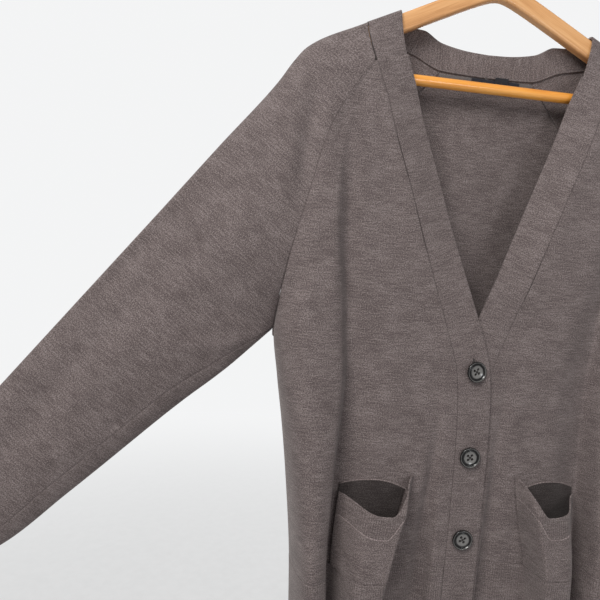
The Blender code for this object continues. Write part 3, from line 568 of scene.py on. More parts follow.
def knit_finish(name, rib=0.0, shade=1.0):
    """Heathered knit; `rib` is how strongly its columns stand up as ribs, with painted shade in their
    furrows.
    """
    finish, tree, surface = blank_finish(name)
    flat = add(tree, "TexCoord").outputs["UV"]
    axes = add(tree, "SeparateXYZ", {0: flat})
    u, v = axes.outputs[0], axes.outputs[1]

    def grain(scale_u, scale_v, detail, roughness=0.6):
        sized = add(tree, "Mapping", {"Vector": flat, "Scale": (scale_u, scale_v, 1.0)}).outputs[0]
        inputs = {"Vector": sized, "Scale": 1.0, "Detail": detail, "Roughness": roughness}
        return add(tree, "TexNoise", inputs, noise_dimensions="2D").outputs["Fac"]

    fleck = grain(820.0, 980.0, 2.0, 0.7)
    streak = grain(75.0, 640.0, 2.0)
    cloud = grain(34.0, 60.0, 3.0)
    mixed = calc(tree, "MULTIPLY_ADD", calc(tree, "SUBTRACT", fleck, 0.5), 1.65, 0.5)
    mixed = calc(tree, "MULTIPLY_ADD", calc(tree, "SUBTRACT", streak, 0.5), 0.55, mixed)
    mixed = calc(tree, "MULTIPLY_ADD", calc(tree, "SUBTRACT", cloud, 0.5), 0.36, mixed)
    color = ramp_of(tree, mixed, (0.08, tuple(shade * c for c in YARN_DARK)),
                    (0.5, tuple(shade * c for c in YARN_MID)), (0.95, tuple(shade * c for c in YARN_PALE)))
    height = stitch_height(tree, u, v)
    # Painted shade: the colour is darkened where a stitch lies low between its legs, and lifted on the legs'
    # tops.
    hollow = add(tree, "MapRange", {"Value": height, "To Min": 0.80, "To Max": 1.12}).outputs["Result"]
    fuzz = grain(1500.0, 1500.0, 1.0)
    height = calc(tree, "MULTIPLY_ADD", fuzz, 0.7, height)
    if rib:
        ridge = calc(tree, "COSINE", calc(tree, "MULTIPLY", u, 2 * math.pi / RIB_PITCH))
        height = calc(tree, "MULTIPLY_ADD", ridge, 1.6 * rib, height)
        # Painted shade in the ribs' furrows as well.
        hollow = calc(tree, "MULTIPLY", hollow, calc(tree, "MULTIPLY_ADD", ridge, 0.13 * rib, 1.0))
    painted_shade_mix = add(tree, "Mix", {"Factor": 1.0}, data_type="RGBA", blend_type="MULTIPLY")
    tree.links.new(color, painted_shade_mix.inputs["A"])
    depth = add(tree, "CombineColor", {0: hollow, 1: hollow, 2: hollow}).outputs[0]
    tree.links.new(depth, painted_shade_mix.inputs["B"])
    tree.links.new(painted_shade_mix.outputs["Result"], surface.inputs["Base Color"])
    bump = add(tree, "Bump", {"Height": height, "Strength": 0.32, "Distance": 0.00035})
    tree.links.new(bump.outputs[0], surface.inputs["Normal"])
    surface.inputs["Roughness"].default_value = 0.88
    surface.inputs["Specular IOR Level"].default_value = 0.22
    surface.inputs["Sheen Weight"].default_value = 0.22
    surface.inputs["Sheen Roughness"].default_value = 0.45
    surface.inputs["Sheen Tint"].default_value = (0.85, 0.80, 0.78, 1.0)
    return finish


body_knit = knit_finish("body_knit")
rib_knit = knit_finish("rib_knit", rib=1.0, shade=0.98)
band_knit = knit_finish("band_knit")
seam_yarn = knit_finish("seam_yarn", shade=0.93)
# Painted shade: the linked seams' yarn is darkened to stand for the shadow in their valley.
painted_shade_seam_yarn = knit_finish("painted_shade_seam_yarn", shade=0.38)
# Painted shade: the pocket lining is darkened to stand for the shadow inside the pocket.
painted_shade_lining_knit = knit_finish("painted_shade_lining_knit", shade=0.30)
print("knit finishes with", round(1 / WALE / 10), "stitches in a centimetre")

# %% [markdown]
# ## A sheet of cloth
# Each cloth starts as a bmesh grid. Its rows and columns are moved onto the piece's surface, a
# Solidify modifier gives the wall, and a small Bevel rounds the wall's edges, as a knitted edge is
# round.

# %% Lay a grid over a surface
PLUMB = (0.0, 1.0)


def flat_layout(spots, run, pin):
    """Flat places of the points in mm: U across the wales, V along the direction `run`."""
    steps = np.diff(spots, axis=1)
    sideways = steps[..., 0] * run[1] - steps[..., 2] * run[0]
    across_run = np.hypot(sideways, steps[..., 1])
    u = np.concatenate((np.zeros((len(spots), 1)), np.cumsum(across_run, axis=1)), axis=1)
    if isinstance(pin, int):
        u -= u[:, pin:pin + 1]
    else:
        for row, outs in zip(u, spots[..., 0]):
            row -= np.interp(pin, outs[::-1], row[::-1]) + max(outs[-1] - pin, 0.0)
    v = spots[..., 0] * run[0] + spots[..., 2] * run[1]
    return np.stack((u, v), axis=-1)


def strip_layout(spots):
    """Flat places for a band: U across it and V along its middle."""
    u = np.concatenate((np.zeros((len(spots), 1)),
                        np.cumsum(np.linalg.norm(np.diff(spots, axis=1), axis=2), axis=1)), axis=1)
    middle = spots[:, spots.shape[1] // 2]
    v = np.concatenate(([0.0], np.cumsum(np.linalg.norm(np.diff(middle, axis=0), axis=1))))
    return np.stack(np.broadcast_arrays(u, v[:, None]), axis=-1)


def flat_size(layout):
    """Width, length and area of the flat piece, in metres."""
    low = layout.reshape(-1, 2).min(axis=0)
    high = layout.reshape(-1, 2).max(axis=0)
    first = layout[1:, 1:] - layout[:-1, :-1]
    second = layout[1:, :-1] - layout[:-1, 1:]
    area = np.abs(first[..., 0] * second[..., 1] - first[..., 1] * second[..., 0]).sum() / 2
    width, length = (high - low) * MM
    return float(width), float(length), float(min(area * MM * MM, width * length))


def grid_mesh(name, places, layout, finish):
    """A bmesh grid whose points are moved to `places`, with its flat layout as its UV map."""
    rows, columns = places.shape[:2]
    bm = bmesh.new()
    bmesh.ops.create_grid(bm, x_segments=columns - 1, y_segments=rows - 1, size=1.0)
    mesh = mesh_from(bm, name)
    corners = np.empty(len(mesh.vertices) * 3)
    mesh.vertices.foreach_get("co", corners)
    corners = (corners.reshape(-1, 3) + 1) / 2
    column_of = np.rint(corners[:, 0] * (columns - 1)).astype(int)
    row_of = np.rint(corners[:, 1] * (rows - 1)).astype(int)
    mesh.vertices.foreach_set("co", places[row_of, column_of].ravel())
    loops = np.empty(len(mesh.loops), int)
    mesh.loops.foreach_get("vertex_index", loops)
    flat = mesh.uv_layers.new(name="flat")
    flat.data.foreach_set("uv", (layout * MM)[row_of[loops], column_of[loops]].ravel())
    mesh.shade_smooth()
    mesh.materials.append(finish)
    mesh.update()
    return mesh


def show(name, mesh, *nodes, slot):
    made = bpy.data.objects.new(name, mesh)
    bpy.context.scene.collection.objects.link(made)
    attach(made, "root")
    if nodes:
        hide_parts(*nodes)
    return made


SMALLEST_CUT = 0.0105  # metres; a cut's length is printed as no less than about a centimetre
EDGE_SHARE = 0.3


def sew(name, side, spots, layout, thickness, finish, slot, rests_on):
    """One cloth piece in place of the frame's node of the same name."""
    mesh = grid_mesh(name + "_cloth", placed(side, spots), layout, finish)
    made = show(name + "_cloth", mesh, name, slot=slot)
    wall = made.modifiers.new("Wall", "SOLIDIFY")
    wall.thickness = thickness * MM
    wall.offset = 0.0
    edge = made.modifiers.new("Edge", "BEVEL")
    edge.width = thickness * EDGE_SHARE * MM
    edge.segments = 2
    edge.limit_method = "ANGLE"
    edge.angle_limit = math.radians(60.0)
    width, length, area = flat_size(layout)
    length = max(length, SMALLEST_CUT)
    print("%-26s cut %3.0f x %3.0f mm" % (made.name, width / MM, length / MM))
    return made


def name_of(part, side):
    return part + ("_left" if side == LEFT else "_right")


# %% [markdown]
# ## The fronts
# Each front is one knitted panel from the neckband down to the hem's rib. It hangs straight from the
# raglan seam, so the stitches' columns are plumb, and its map is pinned at one out distance.

# %% Fronts
PIN_OUT = 100.0
FRONT_TOP = NECK_DROP + 2.5


def front_spots(side, drops, steps=FRONT_STEPS):
    return np.stack([front_row(side, drop, steps) for drop in drops])


def make_front(side):
    drops = np.linspace(FRONT_TOP, RIB_DROP - SEAM, 205)
    spots = creased_front(side, front_spots(side, drops))
    sew(name_of("front", side), side, spots, flat_layout(spots, PLUMB, PIN_OUT), KNIT,
        body_knit, "knit", ["hanger_arms"])


for side in (LEFT, RIGHT):
    make_front(side)

# %% [markdown]
# ## The back
# The back is one panel as wide as both halves. Its upper edge dips under the neckband.

# %% Back
CENTRE_EASE = 18.0


def back_spots(drops):
    rows = []
    for drop in drops:
        half = back_half(drop, BACK_STEPS)
        left = creased_back(LEFT, half.copy())
        right = creased_back(RIGHT, half.copy())
        middle = (left[-1] + right[-1]) / 2
        ease = bell(half[:, 0], 0.0, CENTRE_EASE)[:, None]
        left += (middle - left[-1]) * ease
        right += (middle - right[-1]) * ease
        right = right[::-1][1:]
        left[:, 0] *= -1
        rows.append(np.concatenate((left, right)))
    return np.stack(rows)


def make_back():
    drops = np.linspace(NECK[BACK_RAGLAN_ROW][0][2] + 2 * SEAM, RIB_DROP - SEAM, 190)
    spots = back_spots(drops)
    sew("back", RIGHT, spots, flat_layout(spots, PLUMB, len(BACK_STEPS) - 1), KNIT, body_knit,
        "knit", ["hanger_arms"])


make_back()

# %% [markdown]
# ## Pockets
# A patch pocket sits on each front. It gapes, because its upper edge is drawn up at both ends: soft at
# the outer end, steep at the inner one. The front below it bulges along, down through the hem.

# %% Pocket shape
MOUTH_DROP = 625.0
MOUTH_OUTER_RISE = 12.0
MOUTH_INNER_RISE = 34.0
POCKET_BAND = 23.0
POCKET_BULGE = 38.0
LINING_DROP = 609.0
LINING_RISE = 11.0
LINING_FOOT = 680.0
LINING_THICK = 1.0
LINING_LIFT = KNIT / 2 + STACK + LINING_THICK / 2
POCKET_START = 0.07
POCKET_STEPS = 2.0
POCKET_SHARES = np.concatenate((np.linspace(POCKET_START, 0.80, 38), np.linspace(0.80, 1.0, 24)[1:]))
FILL_START = 590.0
FILL_HALF = 625.0
FILLED = (0.4, 0.4, 0.2)  # shares of the bulge: above FILL_START, more by FILL_HALF, more by the rib
GROOVE_CLEAR = 1.2
GROOVE_SHARE = 0.25


def pocket_shape(share):
    """Fullness across the pocket: soft on its outer side, with a crisp inner edge."""
    full = ramp(share, 0.0, 0.42) * (1 - ramp(share, 0.86, 1.0))
    return np.where((share > 0.0) & (share < 1.0), full, 0.0)


def mouth_drop(share):
    outer_rise = MOUTH_OUTER_RISE * (1 - ramp(share, 0.0, 0.6))
    return MOUTH_DROP - outer_rise - MOUTH_INNER_RISE * ramp(share, 0.7, 1.0)


def under_pocket(side, shares, drops):
    """Front panel points behind the pocket, each with its own share of the way across and drop."""
    steps = GROOVE_STEP + POCKET_STEPS * shares
    return np.stack([front_row(side, drop, np.array([step]))[0] for drop, step in zip(drops, steps)])


def clear_of_groove(shares):
    """How much further forward the outer edge stands, where the panel turns into its groove."""
    return GROOVE_CLEAR * (1 - ramp(shares, 0.0, GROOVE_SHARE))


def pocket_row(side, shares, drops):
    spots = under_pocket(side, shares, drops)
    top, middle, foot = FILLED
    filled = top + middle * ramp(drops, FILL_START, FILL_HALF) + foot * ramp(drops, FILL_HALF, RIB_DROP)
    full = POCKET_BULGE * filled
    lift = KNIT + STACK + 2 * SEAM + clear_of_groove(shares)
    spots[:, 1] += lift + (full - lift) * pocket_shape(shares)
    return creased_front(side, spots)


# %% Pocket pieces
LINING_END = 0.92


def seam_below_band(shares):
    """Width of the seam under the band, which opens towards the mouth's steep end."""
    return 7 * SEAM * ramp(shares, 0.3, 0.8) + 3 * SEAM


def make_pocket(side):
    shares = POCKET_SHARES
    mouth = mouth_drop(shares)
    ribs = np.stack([pocket_row(side, shares, mouth + POCKET_BAND * part)
                     for part in np.linspace(0, 1, 12)])
    sew(name_of("pocket_band", side), side, ribs, flat_layout(ribs, PLUMB, 0), KNIT, rib_knit,
        "rib_knit", [name_of("pocket_front", side) + "_cloth"])
    top = mouth + POCKET_BAND + seam_below_band(shares)
    body = np.stack([pocket_row(side, shares, top + (RIB_DROP - SEAM - top) * part)
                     for part in np.linspace(0, 1, 28)])
    sew(name_of("pocket_front", side), side, body, flat_layout(body, PLUMB, PIN_OUT), KNIT,
        body_knit, "knit", [name_of("front", side) + "_cloth"])


def lining_top(shares):
    return LINING_DROP - LINING_RISE * np.sin(np.pi * shares)


def make_lining(side):
    shares = np.linspace(POCKET_START, LINING_END, 34)
    top = lining_top(shares)
    rows = []
    for part in np.linspace(0, 1, 26):
        spots = under_pocket(side, shares, top + (LINING_FOOT - top) * part)
        spots[:, 1] += LINING_LIFT + clear_of_groove(shares)
        rows.append(creased_front(side, spots))
    spots = np.stack(rows)
    # The lining's dark finish is painted shade of the pocket's inside.
    sew(name_of("pocket_lining", side), side, spots, flat_layout(spots, PLUMB, 0), LINING_THICK,
        painted_shade_lining_knit, "knit", [name_of("front", side) + "_cloth"])


for side in (LEFT, RIGHT):
    make_pocket(side)
    make_lining(side)

# %% [markdown]
# ## The hem's rib
# The rib is knitted on below the panels. It follows them, and under a pocket it stands forward too.

# %% Hem rib
def make_hem():
    drops = np.linspace(RIB_DROP + SEAM, HEM_DROP, 24)
    spots = back_spots(drops)
    sew("hem_rib_back", RIGHT, spots, flat_layout(spots, PLUMB, len(BACK_STEPS) - 1), RIB,
        rib_knit, "rib_knit", ["back_cloth"])
    for side in (LEFT, RIGHT):
        spots = front_spots(side, drops)
        spots[..., 1] += POCKET_BULGE * pocket_shape((FRONT_STEPS - GROOVE_STEP) / POCKET_STEPS)
        spots = creased_front(side, spots)
        sew(name_of("hem_rib_front", side), side, spots, flat_layout(spots, PLUMB, PIN_OUT), RIB,
            rib_knit, "rib_knit", [name_of("front", side) + "_cloth"])


make_hem()

# %% [markdown]
# ## Button bands and neckband
# The band is knitted double and folded at its free edge, so it is thicker than the panels and its edge
# is round. It runs up each front, over the hanger and round the back of the neck.

# %% Bands
BAND_COLUMNS = 17
BAND_TOP = 176.0
BAND_CALM = 200.0
BAND_UNEVEN = 0.7
SLOPE_REACH = 2.0
JOIN_SHARE = 0.06
NECK_STEP = 0.2


def between(seam, edge):
    shares = np.linspace(BAND_CLEAR / BAND_WIDTH, 1.0, BAND_COLUMNS)[:, None]
    return np.asarray(seam) + (np.asarray(edge) - np.asarray(seam)) * shares


def band_row(side, drop):
    run = column(BAND_SEAM, drop - SLOPE_REACH, 1) - column(BAND_SEAM, drop + SLOPE_REACH, 1)
    length = math.hypot(run, 2 * SLOPE_REACH)
    lean = column(BAND_LEAN, drop, 1)
    width = math.sqrt(BAND_WIDTH ** 2 - lean ** 2)
    seam = (column(BAND_SEAM, drop, 1), column(BAND_SEAM, drop, 2) - behind(side, drop, 1.0), drop)
    edge = (seam[0] - width * 2 * SLOPE_REACH / length, seam[1] - lean, drop - width * run / length)
    return between(seam, edge)


def neck_line(position, line):
    """Out, fore and drop on the neck's seam, line 0, or on its free edge, line 1."""
    numbers = range(len(NECK))
    return np.stack([smooth(position, numbers, [row[line][k] for row in NECK]) for k in range(3)], axis=-1)


def neck_row(position):
    return between(neck_line(position, 0), neck_line(position, 1))


def make_band(side):
    rows = [band_row(side, drop) for drop in np.linspace(HEM_DROP, BAND_TOP, 210)]
    rows += [neck_row(position) for position in np.linspace(NECK_STEP, SHOULDER_ROW - JOIN_SHARE, 28)]
    spots = np.stack(rows)
    calm = ramp(spots[..., 2], NECK_DROP, BAND_CALM)
    spots[..., 1] += unevenness(side, spots[..., 0], spots[..., 2]) * calm * BAND_UNEVEN
    sew(name_of("band", side), side, spots, strip_layout(spots), DOUBLE_KNIT, band_knit, "rib_knit",
        ["hanger_arms"])


def make_neckband():
    positions = np.concatenate(([SHOULDER_ROW + JOIN_SHARE],
                                np.linspace(SHOULDER_ROW + NECK_STEP, len(NECK) - 1, 110)))
    half = np.stack([neck_row(position) for position in positions])
    left = half * np.array((-1.0, 1.0, 1.0))
    spots = np.concatenate((left, half[::-1][1:]))
    sew("neckband_back", RIGHT, spots, strip_layout(spots), DOUBLE_KNIT, band_knit, "rib_knit",
        ["hanger_arms", "back_cloth"])


for side in (LEFT, RIGHT):
    make_band(side)
make_neckband()

# %% [markdown]
# ## Sleeves and cuffs
# A raglan sleeve runs up to the neckband. Above the underarm its two sides are the raglan seams, and
# below it the sleeve is a flattened tube, closed by the underarm seam. A soft groove runs down its
# front where the upper fold rolls over.

# %% Sleeve tables
SLEEVE_CREST = (
    # share of the way, out, fore, drop
    (0.00, 137.0, 0.0, 137.5), (0.24, 195.5, 0.0, 169.0), (0.30, 207.5, 0.0, 183.5),
    (0.385, 220.0, 0.0, 203.0), (0.70, 275.5, 0.0, 273.0), (1.00, 328.0, 0.0, 340.0))
CREST_RUN = (0.62, 0.785)
SECTION_RISE = (0.738, -0.675)
SLEEVE_TUBE = (
    # along, flat width, half depth, height of the seam over the lower fold, fore
    (0.0, 160.0, 18.0, 0.0, 0.0), (60.0, 152.0, 17.0, 12.0, 0.5), (125.0, 139.0, 16.0, 18.0, 1.0),
    (260.0, 117.0, 14.0, 18.0, 2.0), (345.0, 101.0, 13.0, 16.0, 2.0), (359.0, 92.0, 12.5, 15.0, 2.0),
    (372.0, 88.0, 12.0, 14.0, 2.0), (420.0, 88.0, 11.5, 14.0, 2.0))
CUFF_ALONG = 359.0
SLEEVE_END = 420.0
CAP_DEPTHS = ((0.0, 17.0, 14.0), (0.3, 22.0, 19.0), (0.7, 22.0, 20.0), (1.0, 18.0, 18.0))
SLEEVE_GROOVE = 5.0
GROOVE_INSIDE = 36.0
GROOVE_REACH = 20.0
GROOVE_FADE = 200.0
ARMPIT_GAP = 1.1
ARMPIT_RUN = 25.0
CAP_SQUARE = 0.7
TURNS = np.concatenate((np.linspace(-1, 0, 49), np.linspace(0, 1, 51)[1:]))


# %% Sleeve surface
def arc(crest, end, reach, depth, angle, square):
    """Points of a rounded section, `angle` round from the upper fold towards its end."""
    go = (1 - np.cos(angle)) / (1 - math.cos(reach))
    miss = end[1] - (crest[1] + depth * max(math.sin(reach), 0.0) ** square)
    fore = crest[1] + depth * np.maximum(np.sin(angle), 0.0) ** square + miss * angle / reach
    return points(crest[0] + (end[0] - crest[0]) * go, fore, crest[2] + (end[2] - crest[2]) * go)


def groove_depth(inside, strength):
    return strength * SLEEVE_GROOVE * bell(inside, GROOVE_INSIDE, GROOVE_REACH)


def neck_edge(turn):
    """The neck seam's point where a sleeve row's `turn` meets it, from -1 in front to 1 behind."""
    rows = SHOULDER_ROW if turn < 0 else BACK_RAGLAN_ROW - SHOULDER_ROW
    return neck_line(SHOULDER_ROW + rows * turn, 0)


NECK_FRONT = np.stack([neck_edge(turn) for turn in TURNS[TURNS < 0]])
NECK_BACK = np.stack([neck_edge(turn) for turn in TURNS[TURNS >= 0]])


def cap_half(share, front):
    """The front or back half of one row above the underarm, from seam to seam over the crest."""
    crest = [column(SLEEVE_CREST, share, k) for k in (1, 2, 3)]
    first_crest = [column(SLEEVE_CREST, 0.0, k) for k in (1, 2, 3)]
    closing = ramp(share, 0.55, 1.0)
    reach = math.pi / 2 * (1 + closing)
    top = NECK_DROP if front else NECK[BACK_RAGLAN_ROW][0][2]
    table = FRONT_SIDE if front else BACK_SIDE
    sign = 1 if front else -1
    drop = top + (UNDERARM_DROP - top) * share
    end = (column(table, drop, 1) + 3 * SEAM + ARMPIT_GAP * closing, column(table, drop, 2), drop)
    depth = sign * column(CAP_DEPTHS, share, 1 if front else 2)
    turn = np.abs(TURNS[TURNS < 0] if front else TURNS[TURNS >= 0])
    row = arc(crest, end, reach, depth, turn * reach,
              CAP_SQUARE + (1 - CAP_SQUARE) * ramp(share, 0.3, 0.8))
    flat = arc(first_crest, neck_edge(-1 if front else 1), math.pi / 2,
               sign * column(CAP_DEPTHS, 0.0, 1 if front else 2), turn * math.pi / 2, CAP_SQUARE)
    row += (1 - ramp(share, 0.0, 0.3)) * ((NECK_FRONT if front else NECK_BACK) - flat)
    if front:
        inside = np.hypot(row[:, 0] - crest[0], row[:, 2] - crest[2])
        row[:, 1] -= groove_depth(inside, ramp(share, 0.45, 0.9))
    return row


def tube_row(along):
    width, depth, rise, fore = [column(SLEEVE_TUBE, along, k) for k in (1, 2, 3, 4)]
    half = width / 2
    seam_angle = math.acos(max(-1.0, rise / half - 1))
    slack = SIDE_CLEAR / math.hypot(half * math.sin(seam_angle), depth)
    slack += ARMPIT_GAP * (1 - ramp(along, 0.0, ARMPIT_RUN)) / depth
    angle = -TURNS * np.where(TURNS < 0, seam_angle - slack, 2 * math.pi - seam_angle - slack)
    inside = half * (1 - np.cos(angle))
    swing = np.sin(angle)
    groove = groove_depth(inside, 1 - ramp(along, GROOVE_FADE, CUFF_ALONG)) * np.maximum(swing, 0.0)
    return points(SLEEVE_CREST[-1][1] + CREST_RUN[0] * along - SECTION_RISE[0] * inside,
                  fore + depth * swing - groove,
                  SLEEVE_CREST[-1][3] + CREST_RUN[1] * along - SECTION_RISE[1] * inside)


def creased_sleeve(side, rows, calm, seam):
    """Creases both halves of the sleeve's rows. The crest stays where it is, and so does the underarm
    seam, from the row where `seam` is one; above it the sleeve's edges follow the body's creases."""
    spots = np.stack(rows)
    moved = np.concatenate((creased_front(side, spots[:, TURNS < 0].copy()),
                            creased_back(side, spots[:, TURNS >= 0].copy())), axis=1)
    hold = ramp(np.abs(TURNS), 0.0, 0.25) * (1 - ramp(np.abs(TURNS), 0.93, 1.0) * seam[:, None])
    return spots + (moved - spots) * (hold * calm[:, None])[..., None]


# %% Sleeves
CAP_FIRST = 2 * SEAM / 130.0  # share of the way at which the cap starts, clear of the neckband
TUBE_FIRST = 3.0
CUFF_CALM = 345.0


def make_sleeve(side):
    shares = np.linspace(CAP_FIRST, 1.0, 92)
    rows = [np.concatenate((cap_half(share, True), cap_half(share, False))) for share in shares]
    alongs = np.linspace(TUBE_FIRST, CUFF_ALONG - SEAM, 112)
    rows += [tube_row(along) for along in alongs]
    calm = np.concatenate((np.ones(len(shares)), 1 - ramp(alongs, CUFF_CALM, CUFF_ALONG)))
    seam = np.concatenate((ramp(shares, 0.9, 1.0), np.ones(len(alongs))))
    spots = creased_sleeve(side, rows, calm, seam)
    layout = flat_layout(spots, CREST_RUN, int((TURNS < 0).sum()))
    sew(name_of("sleeve", side), side, spots, layout, KNIT, body_knit, "knit", ["hanger_arms"])


def make_cuff(side):
    alongs = np.linspace(CUFF_ALONG + SEAM, SLEEVE_END, 24)
    spots = np.stack([tube_row(along) for along in alongs])
    layout = flat_layout(spots, CREST_RUN, int((TURNS < 0).sum()))
    sew(name_of("cuff", side), side, spots, layout, RIB, rib_knit, "rib_knit",
        [name_of("sleeve", side) + "_cloth"])


for side in (LEFT, RIGHT):
    make_sleeve(side)
    make_cuff(side)

# %% [markdown]
# ## Seams
# Knitted pieces are linked: their edges are joined loop to loop, which leaves a thin chain in the
# valley between them and, inside the garment, a small raised ridge. Each seam is a fine tube along
# its seam line. A grid is wrapped round the line, so the tube has a flat map of its own as well.

# %% Seam tubes
WELD = 1e-6
TUBE_WELD = 5e-6


def path_frames(path):
    """Two directions across a path at each of its points."""
    along = np.gradient(path, axis=0)
    along /= np.linalg.norm(along, axis=1, keepdims=True)
    first = np.cross(along, (0.0, 1.0, 0.0))
    first /= np.maximum(np.linalg.norm(first, axis=1, keepdims=True), 1e-9)
    return first, np.cross(along, first)


def tube_mesh(name, path, radii, finish, sides=8, flatten=1.0):
    """A closed tube round a path in metres, narrowed to nothing at its two ends."""
    radii = np.broadcast_to(radii, len(path)).copy()
    radii[[0, -1]] = WELD
    first, second = path_frames(path)
    angle = np.linspace(0, 2 * math.pi, sides + 1)
    turned = angle[None, :, None]
    ring = np.cos(turned) * first[:, None] + flatten * np.sin(turned) * second[:, None]
    places = path[:, None] + ring * radii[:, None, None]
    run = np.concatenate(([0.0], np.cumsum(np.linalg.norm(np.diff(path, axis=0), axis=1))))
    layout = np.stack(np.broadcast_arrays(angle * radii.max(), run[:, None]), axis=-1) / MM
    mesh = grid_mesh(name, places, layout, finish)
    bm = bmesh.new()
    bm.from_mesh(mesh)
    bmesh.ops.remove_doubles(bm, verts=bm.verts, dist=TUBE_WELD)
    bmesh.ops.recalc_face_normals(bm, faces=bm.faces)
    bm.to_mesh(mesh)
    bm.free()
    return mesh


def joined(name, meshes):
    """Several meshes of one finish as one."""
    bm = bmesh.new()
    for mesh in meshes:
        bm.from_mesh(mesh)
    whole = mesh_from(bm, name)
    whole.shade_smooth()
    whole.materials.append(meshes[0].materials[0])
    for mesh in meshes:
        bpy.data.meshes.remove(mesh)
    return whole


def seam(name, side, lines, radius, finish=None):
    finish = finish or seam_yarn
    meshes = [tube_mesh(name, placed(side, np.asarray(line, float)), radius * MM, finish) for line in lines]
    return show(name, joined(name, meshes), slot="knit")


# %% Seam lines
def table_line(table, low, high, count, fore_by=0.0):
    drops = np.linspace(low, high, count)
    return points(column(table, drops, 1), column(table, drops, 2) + fore_by, drops)


def neck_seam(fore_by):
    rows = np.linspace(SHOULDER_ROW + 0.5, len(NECK) - 1, 70)
    return neck_line(rows, 0) + np.array((0.0, fore_by, 0.0))


CORE = 0.7
RIDGE = 0.9
NECK_CORE = 1.7
ARMPIT_CORE = 2.2
SEAM_END = HEM_DROP - 1.0
RAGLAN_FOOT = 450.0
ARMPIT_DROPS = (438.0, 458.0)
RIDGE_FORE = 1.6
for side in (LEFT, RIGHT):
    band_line = table_line(BAND_SEAM, BAND_TOP + 1.0, SEAM_END, 220)
    band_line[:, 1] -= behind(side, band_line[:, 2], 1.0)
    rib_line = creased_front(side, front_row(side, RIB_DROP, FRONT_STEPS))
    raglan = [creased_front(side, table_line(FRONT_SIDE, NECK_DROP + 1.0, RAGLAN_FOOT, 110)),
              creased_back(side, table_line(BACK_SIDE, 171.0, RAGLAN_FOOT, 110))]
    low_side = table_line(FRONT_SIDE, UNDERARM_DROP - 2.0, SEAM_END, 110)
    armpit = table_line(FRONT_SIDE, *ARMPIT_DROPS, 14)
    # The button band's and the hem rib's seams carry painted shade.
    seam(name_of("linked_seams", side), side, [band_line, rib_line], CORE, painted_shade_seam_yarn)
    seam(name_of("raglan_seams", side), side, [*raglan, low_side], CORE)
    seam(name_of("armpit_join", side), side, [armpit], ARMPIT_CORE)
    under = [tube_row(along)[[0, -1]].mean(axis=0) for along in np.linspace(6.0, SLEEVE_END - 1.0, 120)]
    cuff_ring = tube_row(CUFF_ALONG)
    seam(name_of("sleeve_seams", side), side, [np.stack(under), cuff_ring], CORE)
    inner = table_line(BACK_SIDE, 172.0, 440.0, 110, fore_by=KNIT * 0.75)
    seam(name_of("neck_core", side), side, [neck_seam(0.0)], NECK_CORE)
    seam(name_of("inner_ridges", side), side, [neck_seam(RIDGE_FORE), inner], RIDGE)
shoulder = neck_row(SHOULDER_ROW)
seam("shoulder_joins", RIGHT, [shoulder, shoulder * np.array((-1.0, 1.0, 1.0))], CORE)
print("seams linked")

# %% [markdown]
# ## Fashioning marks
# A raglan panel is narrowed by moving stitches over, a few columns inside its edge. Each move leaves a
# small raised stitch, and together they run beside the seam as a dotted line.

# %% Fashioning marks
MARK_INSIDE = 9.0
MARK_PITCH = 7.5
MARK_SIZE = (0.55, 0.45, 1.5)
MARK_DROPS = (214.0, 432.0)


def fore_at(side, out, drop):
    """Fore of a front's creased surface at an out distance."""
    row = creased_front(side, front_row(side, drop, FRONT_STEPS))
    return float(np.interp(out, row[::-1, 0], row[::-1, 1]))


def mark_places(side):
    for drop in np.arange(*MARK_DROPS, MARK_PITCH):
        lean = column(FRONT_SIDE, drop + SLOPE_REACH, 1) - column(FRONT_SIDE, drop - SLOPE_REACH, 1)
        out = column(FRONT_SIDE, drop, 1) - MARK_INSIDE
        yield (out, fore_at(side, out, drop) + KNIT * 0.5, drop), math.atan2(lean, 2 * SLOPE_REACH)


def make_marks(side):
    bm = bmesh.new()
    for spot, lean in mark_places(side):
        made = bmesh.ops.create_icosphere(bm, subdivisions=1, radius=1.0)["verts"]
        bmesh.ops.scale(bm, verts=made, vec=[size * MM for size in MARK_SIZE])
        bmesh.ops.rotate(bm, verts=made, matrix=Matrix.Rotation(side * lean, 3, "Y"))
        bmesh.ops.translate(bm, verts=made, vec=placed(side, np.array(spot)))
    mesh = mesh_from(bm, "fashioning_marks")
    mesh.shade_smooth()
    mesh.materials.append(seam_yarn)
    show(name_of("fashioning_marks", side), mesh, slot="knit")


for side in (LEFT, RIGHT):
    make_marks(side)

# %% [markdown]
# ## Pocket and hem stitching
# A row of pale stitches holds the pocket's folded band, and a fine chain edges the mouth's back layer; the
# chain is paler than the body, a painted highlight along that edge's top.

# %% Pocket stitching
pale_yarn = knit_finish("pale_yarn", shade=1.55)
# Paler yarn on the back layer's edge: a painted highlight where its top catches the light.
painted_highlight_chain_yarn = knit_finish("painted_highlight_chain_yarn", shade=1.25)
STITCH_BELOW = 0.4
STITCH_RADIUS = 0.85
CHAIN_RADIUS = 0.8
CHAIN_END = 0.94
CHAIN_RISE = 0.5


def make_pocket_seams(side):
    shares = POCKET_SHARES
    line = pocket_row(side, shares, mouth_drop(shares) + POCKET_BAND + STITCH_BELOW)
    line[:, 1] += KNIT * 0.25
    seam(name_of("pocket_band_seam", side), side, [line], STITCH_RADIUS, pale_yarn)
    shares = np.linspace(POCKET_START, CHAIN_END, 60)
    ridge = under_pocket(side, shares, lining_top(shares) - CHAIN_RISE)
    ridge[:, 1] += LINING_LIFT + 2 * SEAM
    turn_down = points(ridge[-1, 0] - np.array((0.8, 1.2)), ridge[-1, 1] + np.array((0.1, 0.1)),
                       ridge[-1, 2] + np.array((3.0, 14.0)))
    edge = np.concatenate((creased_front(side, ridge), turn_down))
    seam(name_of("pocket_back_edge", side), side, [edge], CHAIN_RADIUS, painted_highlight_chain_yarn)


for side in (LEFT, RIGHT):
    make_pocket_seams(side)
